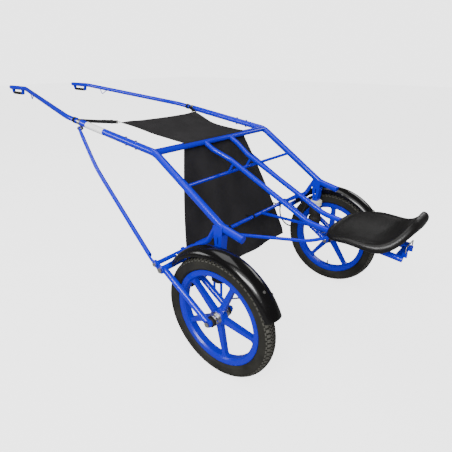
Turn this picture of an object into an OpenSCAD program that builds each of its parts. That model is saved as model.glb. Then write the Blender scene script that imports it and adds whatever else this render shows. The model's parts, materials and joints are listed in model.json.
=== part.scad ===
// Trotting sulky: a two-wheeled cart whose wheels ride in air-sprung forks.
// X points forward to the horse, Y to the left and Z up. The tyres stand on z = 0.

/* [Wheels] */
// Radius over the tread
tyre_r = 280; // [270:1:288]
// Width of the tyre
tyre_w = 62; // [52:1:66]
// Distance from the centre line to the middle of a wheel
half_track = 524; // [515:1:550]
// Radius over the rim's flanges
rim_r = 221; // [214:1:226]
// Width over the rim's flanges
rim_w = 46; // [40:1:50]
// Number of spokes
spoke_n = 5; // [4:1:6]
// Thickness of a spoke along the axle
spoke_t = 22; // [16:1:26]
// Half length of the hub
hub_half = 44; // [40:1:48]
// Radius of the hub's sleeve
hub_r = 22; // [20:1:25]
// Diameter of the wheel axle
axle_d = 15; // [12:0.5:17]
// Outer diameter of a wheel bearing
bearing_d = 35; // [32:1:37]
// Width of a wheel bearing
bearing_w = 11; // [8:1:14]

/* [Fork] */
// Distance from the wheel's middle to the middle of a fork arm
arm_out = 66; // [63:1:70]
// Diameter of a fork arm
arm_d = 28; // [24:1:28]
// Forward distance from the axle to the fork's pivot
pivot_x = 262; // [258:1:275]
// Height of the fork's pivot
pivot_z = 446; // [440:1:455]
// Diameter of the pivot bolt
pivot_d = 18; // [14:1:20]
// Diameter of the pivot sleeve
sleeve_d = 28; // [25:1:30]
// Radius over the fender's crown
fender_r = 322; // [316:1:328]
// Half width of the fender
fender_half = 46; // [42:1:48]
// Depth of the fender's skirts below its crown
fender_deep = 34; // [26:1:38]
// Wall of the fender
fender_wall = 2; // [1.5:0.5:3]
// Angle of the fender's front end, from forward round the axle
fender_front = 38; // [36:1:46]
// Angle of the fender's rear end
fender_rear = 157; // [148:1:175]

/* [Frame] */
// Distance from a wheel's middle in to a side rail
rail_in = 97; // [96:1:104]
// Diameter of a side rail
rail_d = 34; // [32:1:38]
// Wall of a side rail
rail_wall = 3; // [2:0.5:4]
// Forward place of the side rail's knee
knee_x = 459; // [445:1:475]
// Height of the knee
knee_z = 898; // [885:1:910]
// Forward place of the side rail's lower bend
low_x = 58; // [50:1:66]
// Height of the lower bend
low_z = 642; // [636:1:650]
// Length of the side rail behind its lower bend
rail_tail = 108; // [80:1:130]
// Fall of the side rail's tail, in degrees
tail_fall = 12; // [6:1:16]
// Rise of the side rail's front and of the shafts, in degrees
shaft_rise = 7.4; // [5:0.2:9]
// Length of the side rail in front of its knee
socket_len = 593; // [570:1:620]
// Diameter of the front cross tube
cross_d = 25; // [22:1:28]
// Diameter of the rod that carries the mud screen
rod_d = 10; // [8:1:10]
// Diameter of the foot tube
foot_d = 16; // [14:1:20]
// Diameter of the axle beam
beam_d = 20; // [18:1:24]
// Forward place of the axle beam
beam_x = 291; // [286:1:300]
// Height of the axle beam
beam_z = 467; // [460:1:474]
// Diameter of a hanger tube
hanger_d = 22; // [20:1:24]
// Wall of the light tubes
tube_wall = 2; // [1.5:0.5:3]

/* [Shafts] */
// Forward end of the shaft tips
tip_x = 2289; // [2200:1:2350]
// Length of the straight tip
tip_len = 242; // [220:1:280]
// Distance from the centre line to a shaft tip
tip_y = 247; // [220:1:280]
// Height of the shaft tips
tip_z = 1093; // [1070:1:1110]
// Wall of a shaft
shaft_wall = 2; // [1.5:0.5:3]
// Diameter of a stay
stay_d = 16; // [14:1:18]
// Length of a hitch bar between its ears
hitch_len = 130; // [110:1:150]
// Diameter of a hitch bar
hitch_bar_d = 10; // [8:1:12]
// Diameter over the ribs of a hitch sleeve
hitch_sleeve_d = 20; // [18:1:24]
// Room between a hitch sleeve and the shaft tip above it
hitch_room = 12; // [8:1:16]

/* [Seat] */
// Distance from the centre line to a seat rail at its front
seat_rail_front_y = 100; // [90:1:110]
// Distance from the centre line to a seat rail at its lower bend
seat_rail_y = 72; // [66:1:80]
// Diameter of a seat rail
seat_rail_d = 25; // [22:1:28]
// Rear end of the seat rails
seat_rail_end = -565; // [-580:1:-550]
// Middle of the seat along the cart
seat_x = -431; // [-440:1:-425]
// Half length of the seat
seat_half_len = 174; // [166:1:184]
// Half width of the seat
seat_half_wide = 196; // [180:1:205]
// Height of the seat's front lip
seat_z = 632; // [630:1:646]
// Rise of the seat's rolled back above its lip
seat_back = 123; // [105:1:140]
// Thickness of the seat pad
pad_t = 14; // [12:1:14]
// Thickness of the seat shell
shell_t = 4; // [3:0.5:5]

/* [Mud screen] */
// Forward place of the apron's front corners
apron_x = 897; // [860:1:930]
// Height of the apron's front edge
apron_z = 977; // [965:1:985]
// Half width of the apron's front edge
apron_half = 287; // [260:1:310]
// Half width of the screen at its rod
screen_top_half = 235; // [220:1:260]
// Half width of the screen at its hem
screen_hem_half = 417; // [390:1:430]
// Forward place of the hem
hem_x = 282; // [275:1:310]
// Height of the hem
hem_z = 258; // [230:1:300]
// Thickness of the cloth
cloth_t = 1.6; // [1:0.2:2]

/* [Air springs] */
// Forward place of the air springs
spring_x = 72; // [66:1:76]
// Radius of the rubber sleeve
spring_r = 37; // [32:1:38]
// Height of the spring's foot plate
spring_foot_z = 390; // [385:1:395]
// Height of the spring's top ring, underside
spring_ring_z = 500; // [495:1:505]
// Height of the top ring
spring_ring_h = 30; // [24:1:36]

/* [Hidden] */
$fn = 48;

paint = [0.08, 0.2, 0.78];
rubber = [0.08, 0.08, 0.08];
cloth = [0.12, 0.12, 0.12];
zinc = [0.75, 0.75, 0.73];
cream = [0.86, 0.86, 0.76];
gloss_black = [0.05, 0.05, 0.05];

// Clearances: a running fit, a bolt in its hole, pieces that only come close, and a tube's seams
run_gap = 0.05;
seam = 0.02;
hole_gap = 0.15;
near_gap = 0.4;

axle_z = tyre_r;
rail_y = half_track - rail_in;
spring_y = rail_y + 3;
mid_x = (tip_x + seat_x - seat_half_len) / 2;

// Places along the left side of the frame
function unit(v) = v / norm(v);
function mix(a, b, t) = a + (b - a) * t;
front_dir = [cos(shaft_rise), 0, sin(shaft_rise)];
tail_dir = [-cos(tail_fall), 0, -sin(tail_fall)];
knee = [knee_x, rail_y, knee_z];
low = [low_x, rail_y, low_z];
socket_end = knee + front_dir * socket_len;
rail_path = [socket_end, knee, low, low + tail_dir * rail_tail];
rail_bends = [0, 120, 90, 0];
function on_slope(x) = mix(low, knee, (x - low_x) / (knee_x - low_x));
function on_shaft(x) = knee + front_dir * (x - knee_x) / front_dir[0];

shaft_d = rail_d - 2 * rail_wall - 2 * hole_gap;
shaft_turn_x = socket_end[0] + 148;
shaft_insert = 491;
clamp_wide = 24;
clamp_x = socket_end[0] + clamp_wide / 2 + 3;
tip_end = [tip_x - shaft_d / 2, tip_y, tip_z];
shaft_path = [
  socket_end - front_dir * shaft_insert,
  on_shaft(shaft_turn_x),
  [tip_x - tip_len, tip_y, tip_z],
  tip_end
];
shaft_bends = [0, 400, 130, 0];
bolt_setbacks = [379, 453];

cross_at = [knee_x, 0, knee_z];
rod_at = [knee_x + cross_d / 2 + rod_d / 2 + 3.5, 0, knee_z + 9];
foot_mid = [325, 110, 757];
foot_end = on_slope(272);
foot_path = [
  foot_end,
  foot_mid,
  [foot_mid[0], -foot_mid[1], foot_mid[2]],
  [foot_end[0], -foot_end[1], foot_end[2]]
];
foot_bends = [0, 90, 90, 0];

seat_rail_path = [
  [knee_x, seat_rail_front_y, knee_z],
  [405, seat_rail_front_y, 869],
  [312, seat_rail_y, 825],
  [-150, seat_rail_y, 608],
  [seat_rail_end, seat_rail_y - 9, 560]
];
seat_rail_bends = [0, 90, 90, 180, 0];
function on_seat_rail(x) = mix(seat_rail_path[3], seat_rail_path[4], (x + 150) / (seat_rail_end + 150));

beam_end = half_track + arm_out + arm_d / 2 + near_gap;
lug_t = 5;
lug_r = 18;
hanger_path = [on_slope(86), [145, rail_y, 556], [beam_x, rail_y, beam_z]];
hanger_bends = [0, 50, 0];
brace_end = on_seat_rail(-300);
brace_path = [[beam_x, 185, beam_z], [-165, 88, 526], brace_end];
brace_d = 16;

bracket_z = spring_ring_z + spring_ring_h;

stay_eye_y = beam_end + lug_t + near_gap;
stay_top = on_shaft(clamp_x) - [0, 0, shaft_d / 2 + 17];
stay_path = [
  [stay_top[0], rail_y + 13, stay_top[2]],
  [800, rail_y + 83, 790],
  [beam_x, stay_eye_y + 3, beam_z]
];
stay_bends = [0, 700, 0];

hitch_mid_x = tip_x - tip_len / 2;
hitch_z = tip_z - shaft_d / 2 - hitch_room - hitch_sleeve_d / 2;

// Bent round bars: straight runs joined by true arcs at the corners of a path
function bend(p, i) = acos(unit(p[i] - p[i - 1]) * unit(p[i + 1] - p[i]));
function setback(p, r, i) = i == 0 || i == len(p) - 1 ? 0 : r[i] * tan(bend(p, i) / 2);
function longer(p, front, back) = [
  for (i = [0:len(p) - 1])
    i == 0 ? p[0] + unit(p[0] - p[1]) * front :
    i == len(p) - 1 ? p[i] + unit(p[i] - p[i - 1]) * back : p[i]
];

module run(a, b, d) {
  v = b - a;
  translate(a)
    rotate([0, acos(v[2] / norm(v)), atan2(v[1], v[0])])
      cylinder(h = norm(v), d = d);
}

// Child geometry with its X, Y and Z set along three unit vectors at a place
module set_at(place, x, y, z) {
  multmatrix([
    [x[0], y[0], z[0], place[0]],
    [x[1], y[1], z[1], place[1]],
    [x[2], y[2], z[2], place[2]]
  ])
    children();
}

module elbow(p, r, i, d) {
  ahead = unit(p[i] - p[i - 1]);
  inward = unit(unit(p[i + 1] - p[i]) - ahead);
  centre = p[i] + inward * r[i] / cos(bend(p, i) / 2);
  out = unit(p[i] - ahead * setback(p, r, i) - centre);
  set_at(centre, out, ahead, cross(out, ahead))
    rotate_extrude(angle = bend(p, i))
      translate([r[i], 0])
        circle(d = d);
}

module bar(p, r, d) {
  last = len(p) - 1;
  for (i = [0:last - 1]) {
    dir = unit(p[i + 1] - p[i]);
    run(p[i] + dir * setback(p, r, i), p[i + 1] - dir * setback(p, r, i + 1), d);
  }
  if (last > 1)
    for (i = [1:last - 1])
      elbow(p, r, i, d);
}

// One straight length of tube, open at both ends or shut at its far end; with no wall it is a solid wire
module pipe(a, b, d, wall, shut = 0) {
  dir = unit(b - a);
  difference() {
    run(a, b, d);
    if (wall > 0)
      run(a - dir, b + dir * (shut > 0 ? -shut : 1), d - 2 * wall);
  }
}

module pipe_elbow(p, r, i, d, wall) {
  ahead = unit(p[i] - p[i - 1]);
  inward = unit(unit(p[i + 1] - p[i]) - ahead);
  centre = p[i] + inward * r[i] / cos(bend(p, i) / 2);
  out = unit(p[i] - ahead * setback(p, r, i) - centre);
  set_at(centre, out, ahead, cross(out, ahead))
    rotate_extrude(angle = bend(p, i))
      translate([r[i], 0])
        difference() {
          circle(d = d);
          if (wall > 0)
            circle(d = d - 2 * wall);
        }
}

// A bent tube whose first and last lengths are cut to fit the children
module tube(p, r, d, wall, shut = 0) {
  last = len(p) - 1;
  for (i = [0:last - 1]) {
    dir = unit(p[i + 1] - p[i]);
    a = p[i] + dir * (setback(p, r, i) + (i == 0 ? 0 : seam));
    b = p[i + 1] - dir * (setback(p, r, i + 1) + (i == last - 1 ? 0 : seam));
    if (i == 0 || i == last - 1)
      difference() {
        pipe(a, b, d, wall, i == last - 1 ? shut : 0);
        children();
      }
    else
      pipe(a, b, d, wall);
  }
  if (last > 1)
    for (i = [1:last - 1])
      pipe_elbow(p, r, i, d, wall);
}

// Everything is drawn for the left side about the axle, then set in the part's own frame
module placed(s = 1) {
  translate([-mid_x, 0, 0])
    mirror([0, s < 0 ? 1 : 0, 0])
      children();
}

module both_sides() {
  placed(1)
    children();
  placed(-1)
    children();
}

module about_axle() {
  translate([0, half_track, axle_z])
    rotate([90, 0, 0])
      children();
}

module along_y(at, y0, y1, d) {
  translate([at[0], y0, at[2]])
    rotate([-90, 0, 0])
      cylinder(h = y1 - y0, d = d);
}

module hex_along_y(at, y0, y1, flats) {
  translate([at[0], y0, at[2]])
    rotate([-90, 0, 0])
      cylinder(h = y1 - y0, d = flats / cos(30), $fn = 6);
}

// Frame tubes
// Straight lengths that stand for the side rail where a tube is cut to meet it
knee_ahead = unit(knee - socket_end);
knee_after = unit(low - knee);
knee_mid = knee + unit(knee_after - knee_ahead) * rail_bends[1] * (1 / cos(bend(rail_path, 1) / 2) - 1);

module knee_run() {
  dir = unit(knee_ahead + knee_after);
  run(knee_mid - dir * 60, knee_mid + dir * 60, rail_d + 1.4);
}

module front_run() {
  run(knee - front_dir * 30, knee + front_dir * 90, rail_d + near_gap);
}

module slope_run() {
  run(low, knee, rail_d);
}

module shaft_bolt_holes(d) {
  for (b = bolt_setbacks)
    set_at(socket_end - front_dir * b, front_dir, [0, 1, 0], cross(front_dir, [0, 1, 0]))
      cylinder(h = 2 * rail_d, d = d, center = true);
}

module side_rail(s) {
  color(paint)
    placed(s)
      tube(rail_path, rail_bends, rail_d, rail_wall, rail_wall)
        shaft_bolt_holes(bolt_d + 2 * hole_gap);
}

module left_side_rail() {
  side_rail(1);
}

module right_side_rail() {
  side_rail(-1);
}

module front_cross_tube() {
  color(paint)
    placed()
      difference() {
        along_y(cross_at, -rail_y, rail_y, cross_d);
        along_y(cross_at, -rail_y - 1, rail_y + 1, cross_d - 2 * tube_wall);
        knee_run();
        mirror([0, 1, 0])
          knee_run();
      }
}

module screen_rod() {
  color(paint)
    placed()
      difference() {
        along_y(rod_at, 10 - rail_y, rail_y - 10, rod_d);
        front_run();
        mirror([0, 1, 0])
          front_run();
      }
}

module foot_tube() {
  color(paint)
    placed()
      tube(foot_path, foot_bends, foot_d, tube_wall) {
        slope_run();
        mirror([0, 1, 0])
          slope_run();
      }
}

module seat_rail_solid() {
  bar(seat_rail_path, seat_rail_bends, seat_rail_d);
}

module seat_struts() {
  top = mix(seat_rail_path[2], seat_rail_path[3], 0.05);
  color(paint)
    both_sides()
      difference() {
        run([foot_mid[0], seat_rail_y, foot_mid[2]], top, 12);
        run(seat_rail_path[2], seat_rail_path[3], seat_rail_d);
        run(foot_path[1], foot_path[2], foot_d);
      }
}

module seat_rail(s) {
  color(paint)
    placed(s)
      tube(seat_rail_path, seat_rail_bends, seat_rail_d, tube_wall, tube_wall)
        along_y(cross_at, -rail_y, rail_y, cross_d);
}

module left_seat_rail() {
  seat_rail(1);
}

module right_seat_rail() {
  seat_rail(-1);
}

// Plate between the seat rails' ends, with the two eyes that the bail turns in
plate_x = seat_rail_end + 20;
plate_long = 30;
plate_t = 6;
plate_z = on_seat_rail(plate_x)[2];
bail_axis = [plate_x - plate_long / 2 - 6, 0, plate_z + 17];
bail_half = 45;
bail_wire = 5;
eye_t = 6;
bail_bend = 5;
eye_y = bail_half - bail_bend - near_gap - eye_t;

module rail_end_plate() {
  color(paint)
    placed()
      difference() {
        union() {
          translate([plate_x - plate_long / 2, -seat_rail_y, plate_z - plate_t / 2])
            cube([plate_long, 2 * seat_rail_y, plate_t]);
          for (y = [-eye_y - eye_t, eye_y]) {
            along_y(bail_axis, y, y + eye_t, 14);
            translate([bail_axis[0] - 7, y, plate_z - plate_t / 2])
              cube([20, eye_t, bail_axis[2] - plate_z + plate_t / 2]);
          }
        }
        for (y = [-eye_y - eye_t, eye_y])
          along_y(bail_axis, y - 1, y + eye_t + 1, bail_wire + 2 * run_gap);
        seat_rail_solid();
        mirror([0, 1, 0])
          seat_rail_solid();
      }
}

// Beam under the frame, with the lugs that hold the fork pivots
pivot_at = [pivot_x, 0, pivot_z];
beam_at = [beam_x, 0, beam_z];
lug_in_y = half_track - arm_out - arm_d / 2 - near_gap - lug_t;
bolt_d = 6;
stay_bolt_d = 10;

module lug(y) {
  difference() {
    union() {
      along_y(pivot_at, y, y + lug_t, 2 * lug_r);
      along_y(beam_at, y, y + lug_t, 2 * lug_r);
      set_at([beam_x, y, beam_z], unit(pivot_at - beam_at), [0, 1, 0],
        cross(unit(pivot_at - beam_at), [0, 1, 0]))
        translate([0, 0, -lug_r])
          cube([norm(pivot_at - beam_at), lug_t, 2 * lug_r]);
    }
    along_y(pivot_at, y - 1, y + lug_t + 1, pivot_d);
  }
}

module axle_beam() {
  color(paint)
    placed()
      difference() {
        union() {
          along_y(beam_at, -beam_end - lug_t, beam_end + lug_t, beam_d);
          for (s = [0, 1])
            mirror([0, s, 0]) {
              lug(lug_in_y);
              lug(beam_end);
            }
        }
        along_y(beam_at, -beam_end, beam_end, beam_d - 2 * tube_wall);
        along_y(beam_at, -beam_end - lug_t - 1, beam_end + lug_t + 1, stay_bolt_d);
      }
}

module hanger(s) {
  color(paint)
    placed(s)
      tube(hanger_path, hanger_bends, hanger_d, tube_wall) {
        run(low, knee, rail_d);
        along_y(beam_at, -beam_end, beam_end, beam_d);
      }
}

module left_hanger() {
  hanger(1);
}

module right_hanger() {
  hanger(-1);
}

module seat_brace(s) {
  color(paint)
    placed(s)
      tube(brace_path, [0, 260, 0], brace_d, tube_wall) {
        along_y(beam_at, -beam_end, beam_end, beam_d);
        seat_rail_solid();
      }
}

module left_seat_brace() {
  seat_brace(1);
}

module right_seat_brace() {
  seat_brace(-1);
}

// Tapered bracket under the side rail that the air spring pushes against
plate_top = 52;
plate_foot = 28;
bracket_t = 3;
foot_plate_t = 4;

side_gap = rail_d / 2 + near_gap;

module bracket_side() {
  rise = on_slope(spring_x)[2] - bracket_z;
  difference() {
    polygon([[-plate_foot / 2, 0], [plate_foot / 2, 0], [plate_top / 2, rise], [-plate_top / 2, rise]]);
    translate([0, 20])
      circle(d = 7);
    translate([-3, 38])
      square([6, 34]);
  }
}

module spring_bracket(s) {
  rise = on_slope(spring_x)[2] - bracket_z;
  web = on_slope(spring_x - plate_top / 2)[2] - 0.65 * rail_d - bracket_z;
  lean = (plate_top - plate_foot) / 2 * web / rise;
  color(paint)
    placed(s)
      translate([spring_x, rail_y, bracket_z]) {
        for (y = [-side_gap, side_gap + bracket_t])
          translate([0, y, 0])
            rotate([90, 0, 0])
              linear_extrude(bracket_t)
                bracket_side();
        translate([0, side_gap, 0])
          rotate([90, 0, 0])
            linear_extrude(2 * side_gap)
              polygon([
                [-plate_foot / 2, 0], [plate_foot / 2, 0], [plate_foot / 2, foot_plate_t],
                [-plate_foot / 2 + bracket_t, foot_plate_t],
                [-plate_foot / 2 - lean + bracket_t, web], [-plate_foot / 2 - lean, web]
              ]);
      }
}

module left_spring_bracket() {
  spring_bracket(1);
}

module right_spring_bracket() {
  spring_bracket(-1);
}

// Air springs: a moulded ring on top, a rolling rubber sleeve, a plate on the fork below
ring_r = 34;

module spring_rings() {
  color(cream)
    both_sides()
      translate([spring_x, spring_y, spring_ring_z])
        rotate_extrude()
          polygon([
            [0, 0], [ring_r - 1, 0], [ring_r - 1, 9], [ring_r - 5, 11], [ring_r - 5, 14],
            [ring_r, 16], [ring_r, spring_ring_h - 5], [ring_r - 5, spring_ring_h], [0, spring_ring_h]
          ]);
}

module bellows(s) {
  h = spring_ring_z - spring_foot_z - near_gap;
  color(rubber)
    placed(s)
      translate([spring_x, spring_y, spring_foot_z + near_gap])
        rotate_extrude()
          polygon([
            [0, 0], [spring_r - 9, 0],
            for (a = [-70:20:70]) [spring_r - 10 + 10 * cos(a), 24 + 20 * sin(a)],
            for (a = [-60:20:80]) [spring_r - 8 + 8 * cos(a), h - 38 + 34 * sin(a)],
            [ring_r - 5, h], [0, h]
          ]);
}

module left_bellows() {
  bellows(1);
}

module right_bellows() {
  bellows(-1);
}

spring_plate_t = 5;

module spring_foot(s) {
  color(zinc)
    placed(s)
      translate([spring_x, spring_y, spring_foot_z - spring_plate_t])
        rotate_extrude()
          polygon([
            [0, 0], [spring_r - 7, 0], [spring_r - 5, 2], [spring_r - 5, spring_plate_t], [0, spring_plate_t]
          ]);
}

module left_spring_foot() {
  spring_foot(1);
}

module right_spring_foot() {
  spring_foot(-1);
}

// Shafts with domed tips, bolted into the side rails' sockets
module shaft_solid() {
  bar(shaft_path, shaft_bends, shaft_d);
  translate(tip_end)
    sphere(d = shaft_d);
}

module front_shaft(s) {
  color(paint)
    placed(s) {
      tube(shaft_path, shaft_bends, shaft_d, shaft_wall)
        shaft_bolt_holes(bolt_d + 2 * hole_gap);
      translate(tip_end + [seam, 0, 0])
        rotate([0, 90, 0])
          rotate_extrude()
            intersection() {
              circle(d = shaft_d);
              square(shaft_d);
            }
    }
}

module left_front_shaft() {
  front_shaft(1);
}

module right_front_shaft() {
  front_shaft(-1);
}

// Bolts of the shafts and stays
module frame_bolts() {
  up = cross(front_dir, [0, 1, 0]);
  reach = rail_d / 2;
  head_t = 4.5;
  color(zinc)
    both_sides() {
      for (b = bolt_setbacks)
        set_at(socket_end - front_dir * b, front_dir, [0, 1, 0], up) {
          translate([0, 0, -reach - head_t])
            cylinder(h = 2 * reach + 2 * head_t, d = bolt_d);
          for (z = [-reach - head_t, reach])
            translate([0, 0, z])
              cylinder(h = head_t, d = 12, $fn = 6);
        }
      along_y(stay_path[0], rail_y - tab_t / 2 - 6, stay_path[0][1] + stay_d / 2 - 2, 7);
      hex_along_y(stay_path[0], rail_y - tab_t / 2 - 6, rail_y - tab_t / 2, 13);
      hex_along_y(stay_path[0], stay_path[0][1] + eye_half, stay_path[0][1] + eye_half + 5, 13);
      along_y(beam_at, beam_end + 1, stay_path[2][1] + eye_half + 6, stay_bolt_d);
      hex_along_y(beam_at, stay_path[2][1] + eye_half, stay_path[2][1] + eye_half + 6, 17);
    }
}

// Clamp on each shaft, with the tab that takes the stay
tab_t = 6;
eye_half = 3;

module shaft_clamps() {
  at = on_shaft(clamp_x);
  color(zinc)
    both_sides()
      difference() {
        union() {
          run(at - front_dir * clamp_wide / 2, at + front_dir * clamp_wide / 2, shaft_d + 6);
          translate([stay_top[0], rail_y - tab_t / 2, stay_top[2]])
            rotate([-90, 0, 0])
              cylinder(h = tab_t, d = 22);
          translate([stay_top[0] - 11, rail_y - tab_t / 2, stay_top[2]])
            cube([22, tab_t, 24]);
        }
        run(at - front_dir * clamp_wide, at + front_dir * clamp_wide, shaft_d);
        run(at - front_dir * 80, at + front_dir * 80, shaft_d);
        along_y(stay_top, rail_y - tab_t, rail_y + tab_t, 7);
      }
}

// Stay from the shaft down to the beam's end: a tube with a flat eye at each end
stay_wall = 2;

module stay(s) {
  color(paint)
    placed(s)
      difference() {
        union() {
          tube(longer(stay_path, -9, -9), stay_bends, stay_d, stay_wall) {
            translate([stay_top[0] - 40, rail_y - 40, stay_top[2] - 40])
              cube([80, 40 + tab_t / 2 + near_gap, 80]);
            translate([beam_x - 40, beam_end - 40, beam_z - 40])
              cube([80, 40 + lug_t + near_gap, 80]);
          }
          along_y(stay_path[0], stay_path[0][1] - eye_half, stay_path[0][1] + eye_half, 22);
          along_y(stay_path[2], stay_path[2][1] - eye_half, stay_path[2][1] + eye_half, 28);
        }
        translate([stay_top[0] - 12, stay_path[0][1] + eye_half, stay_top[2] - 12])
          cube([24, 24, 24]);
        translate([beam_x - 14, stay_path[2][1] + eye_half, beam_z - 14])
          cube([28, 28, 28]);
        along_y(stay_path[0], rail_y, rail_y + 40, 7 + 2 * hole_gap);
        along_y(beam_at, beam_end, beam_end + 40, stay_bolt_d + 2 * hole_gap);
      }
}

module left_stay() {
  stay(1);
}

module right_stay() {
  stay(-1);
}

// Quick hitch under each tip: two tapered ears and the bar that the harness closes on
ear_foot = 12;
ear_top = 26;
ear_thick = 15;

module ear() {
  rise = tip_z - hitch_z;
  rotate([90, 0, 0])
    linear_extrude(ear_thick, center = true)
      polygon([[0, -ear_foot / 2], [ear_foot, -ear_foot / 2], [ear_top, rise], [0, rise]]);
}

module hitch(s) {
  color(paint)
    placed(s)
      difference() {
        union() {
          translate([hitch_mid_x + hitch_len / 2, tip_y, hitch_z])
            ear();
          translate([hitch_mid_x - hitch_len / 2, tip_y, hitch_z])
            mirror([1, 0, 0])
              ear();
          translate([hitch_mid_x - hitch_len / 2 - 5, tip_y, hitch_z])
            rotate([0, 90, 0])
              cylinder(h = hitch_len + 10, d = hitch_bar_d);
        }
        run([tip_x - tip_len, tip_y, tip_z], tip_end, shaft_d);
      }
}

module left_hitch() {
  hitch(1);
}

module right_hitch() {
  hitch(-1);
}

module hitch_sleeves() {
  pitch = 9;
  n = floor((hitch_len - 2 * near_gap) / pitch);
  sleeve_len = hitch_len - 2 * near_gap;
  root = hitch_sleeve_d / 2 - 2;
  color(rubber)
    both_sides()
      translate([hitch_mid_x - sleeve_len / 2, tip_y, hitch_z])
        rotate([0, 90, 0])
          difference() {
            union() {
              cylinder(h = sleeve_len, r = root);
              for (i = [0:n - 1])
                translate([0, 0, (i + 0.5) * sleeve_len / n - pitch / 4])
                  cylinder(h = pitch / 2, d = hitch_sleeve_d);
            }
            translate([0, 0, -1])
              cylinder(h = sleeve_len + 2, d = hitch_bar_d + 2 * run_gap);
          }
}

// Wire loop under each shaft for the holdback strap
function on_taper(x) = mix(shaft_path[1], shaft_path[2], (x - shaft_turn_x) / (shaft_path[2][0] - shaft_turn_x));
loop_wire = 6;
loop_point = on_taper(1908) - [0, 0, 46];

module strap_loops() {
  color(paint)
    both_sides()
      tube([on_taper(1928), loop_point, on_taper(1842)], [0, 9, 0], loop_wire, 0)
        run(on_taper(1700), on_taper(2000), shaft_d);
}

// Seat: a dished pad on a thin shell. Heights follow the place under the rider.
function lengthwise(x) = (seat_x + seat_half_len - x) / (2 * seat_half_len);
function seat_top(x, y) =
  let (u = lengthwise(x), v = abs(y) / seat_half_wide, back = max(0, (u - 0.5) / 0.44))
  seat_z - 9 * sin(180 * min(1, max(0, u) / 0.9)) + seat_back * pow(back, 3.2)
  + 24 * pow(v, 2.4) * sin(180 * min(1, max(0, u) / 0.95)) - 18 * pow(v, 3) * max(0, 1 - u / 0.35);
function seat_edge(a) =
  let (c = cos(a), s = sin(a), n = 3.2, narrow = c < 0 ? 1 - 0.25 * c * c : 1)
  1 / pow(pow(abs(c) / seat_half_len, n) + pow(abs(s) / (seat_half_wide * narrow), n), 1 / n);
function seat_point(a, r, drop) =
  let (x = seat_x + r * cos(a), y = r * sin(a))
  [x, y, seat_top(x, y) - drop];

// A closed skin over rings of points that all have the same count. Its quads are split one way or the other.
module ringed(rings, other = false) {
  n = len(rings[0]);
  m = len(rings);
  points = [for (ring = rings) for (p = ring) p];
  faces = [
    for (k = [0:m - 2]) for (j = [0:n - 1])
      let (a = k * n + j, b = k * n + (j + 1) % n)
      each other ? [[a, b, b + n], [a, b + n, a + n]] : [[a, b, a + n], [b, b + n, a + n]]
  ];
  first = [for (j = [1:n - 2]) [0, j + 1, j]];
  final = [for (j = [1:n - 2]) [(m - 1) * n, (m - 1) * n + j, (m - 1) * n + j + 1]];
  polyhedron(points = points, faces = concat(first, faces, final));
}

seat_steps = [0:10:350];
under_rings = [0.85, 0.72, 0.58, 0.44, 0.3, 0.16, 0.04];

// The edge is rolled over, thin at the front and thick round the back
function roll_r(a) = 9 + 1.5 * pow(sin(a), 2) + 11 * pow((1 - cos(a)) / 2, 2);
function seat_ring(f, drop) = [for (a = seat_steps) seat_point(a, f * (seat_edge(a) - roll_r(a)), drop)];
function roll_ring(t) = [
  for (a = seat_steps)
    let (r = roll_r(a), p = seat_point(a, seat_edge(a) - r, r))
    p + [r * cos(t) * cos(a), r * cos(t) * sin(a), r * sin(t)]
];

module seat_pad() {
  color(gloss_black)
    placed()
      ringed(concat(
        [for (f = [0.04, 0.3, 0.55, 0.78, 0.94]) seat_ring(f, 0)],
        [for (t = [75, 40, 0, -40, -75]) roll_ring(t)],
        [for (f = under_rings) seat_ring(f, pad_t)]
      ));
}

module seat_shell() {
  n = len(under_rings);
  color(cloth)
    placed()
      ringed(concat(
        [for (i = [n - 1:-1:0]) seat_ring(under_rings[i], pad_t + 0.9)],
        [for (f = under_rings) seat_ring(f, pad_t + 0.9 + shell_t)]
      ), other = true);
}

// Cradle that carries the shell on the seat rails, with the nose that the bail hooks over
strap_wide = 30;
strap_t = 5;
strap_x = [-312, -490];

module strap_on_rails(x) {
  slope = atan2(seat_rail_path[3][2] - seat_rail_path[4][2], seat_rail_path[3][0] - seat_rail_path[4][0]);
  translate([x, 0, on_seat_rail(x)[2]])
    rotate([0, -slope, 0])
      translate([-strap_wide / 2, -seat_rail_y - 14, seat_rail_d / 2])
        cube([strap_wide, 2 * seat_rail_y + 28, strap_t]);
}

function shell_under(x, y) = seat_top(x, y) - pad_t - 1 - shell_t;
post_r = 9;

module seat_frame() {
  post_y = 48;
  nose_z = bail_axis[2] + bail_rise - bail_wire / 2 - near_gap;
  color(paint)
    placed() {
      for (x = strap_x)
        strap_on_rails(x);
      for (x = strap_x, y = [-post_y, post_y])
        translate([x, y, on_seat_rail(x)[2] + seat_rail_d / 2 + 1])
          cylinder(
            h = min([for (a = [0:45:315]) shell_under(x + post_r * cos(a), y + post_r * sin(a))])
              - near_gap - on_seat_rail(x)[2] - seat_rail_d / 2 - 1,
            r = post_r
          );
      difference() {
        translate([bail_axis[0], -20, on_seat_rail(strap_x[1])[2] + seat_rail_d / 2 + 2])
          cube([strap_x[1] - bail_axis[0] - 9, 40, nose_z - on_seat_rail(strap_x[1])[2] - seat_rail_d / 2 - 2]);
        translate([bail_axis[0] - 10, -21, on_seat_rail(strap_x[1])[2]])
          cube([strap_x[1] - bail_axis[0] - 24, 42, nose_z - strap_t - on_seat_rail(strap_x[1])[2]]);
      }
    }
}

// Wire bail that holds the seat down
bail_rise = 28;

module seat_bail() {
  color(zinc)
    placed()
      bar(
        [
          bail_axis + [0, eye_y - 1, 0],
          bail_axis + [0, bail_half, 0],
          bail_axis + [0, bail_half, bail_rise],
          bail_axis + [0, -bail_half, bail_rise],
          bail_axis + [0, -bail_half, 0],
          bail_axis + [0, 1 - eye_y, 0]
        ],
        [0, bail_bend, bail_bend, bail_bend, bail_bend, 0],
        bail_wire
      );
}

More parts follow.
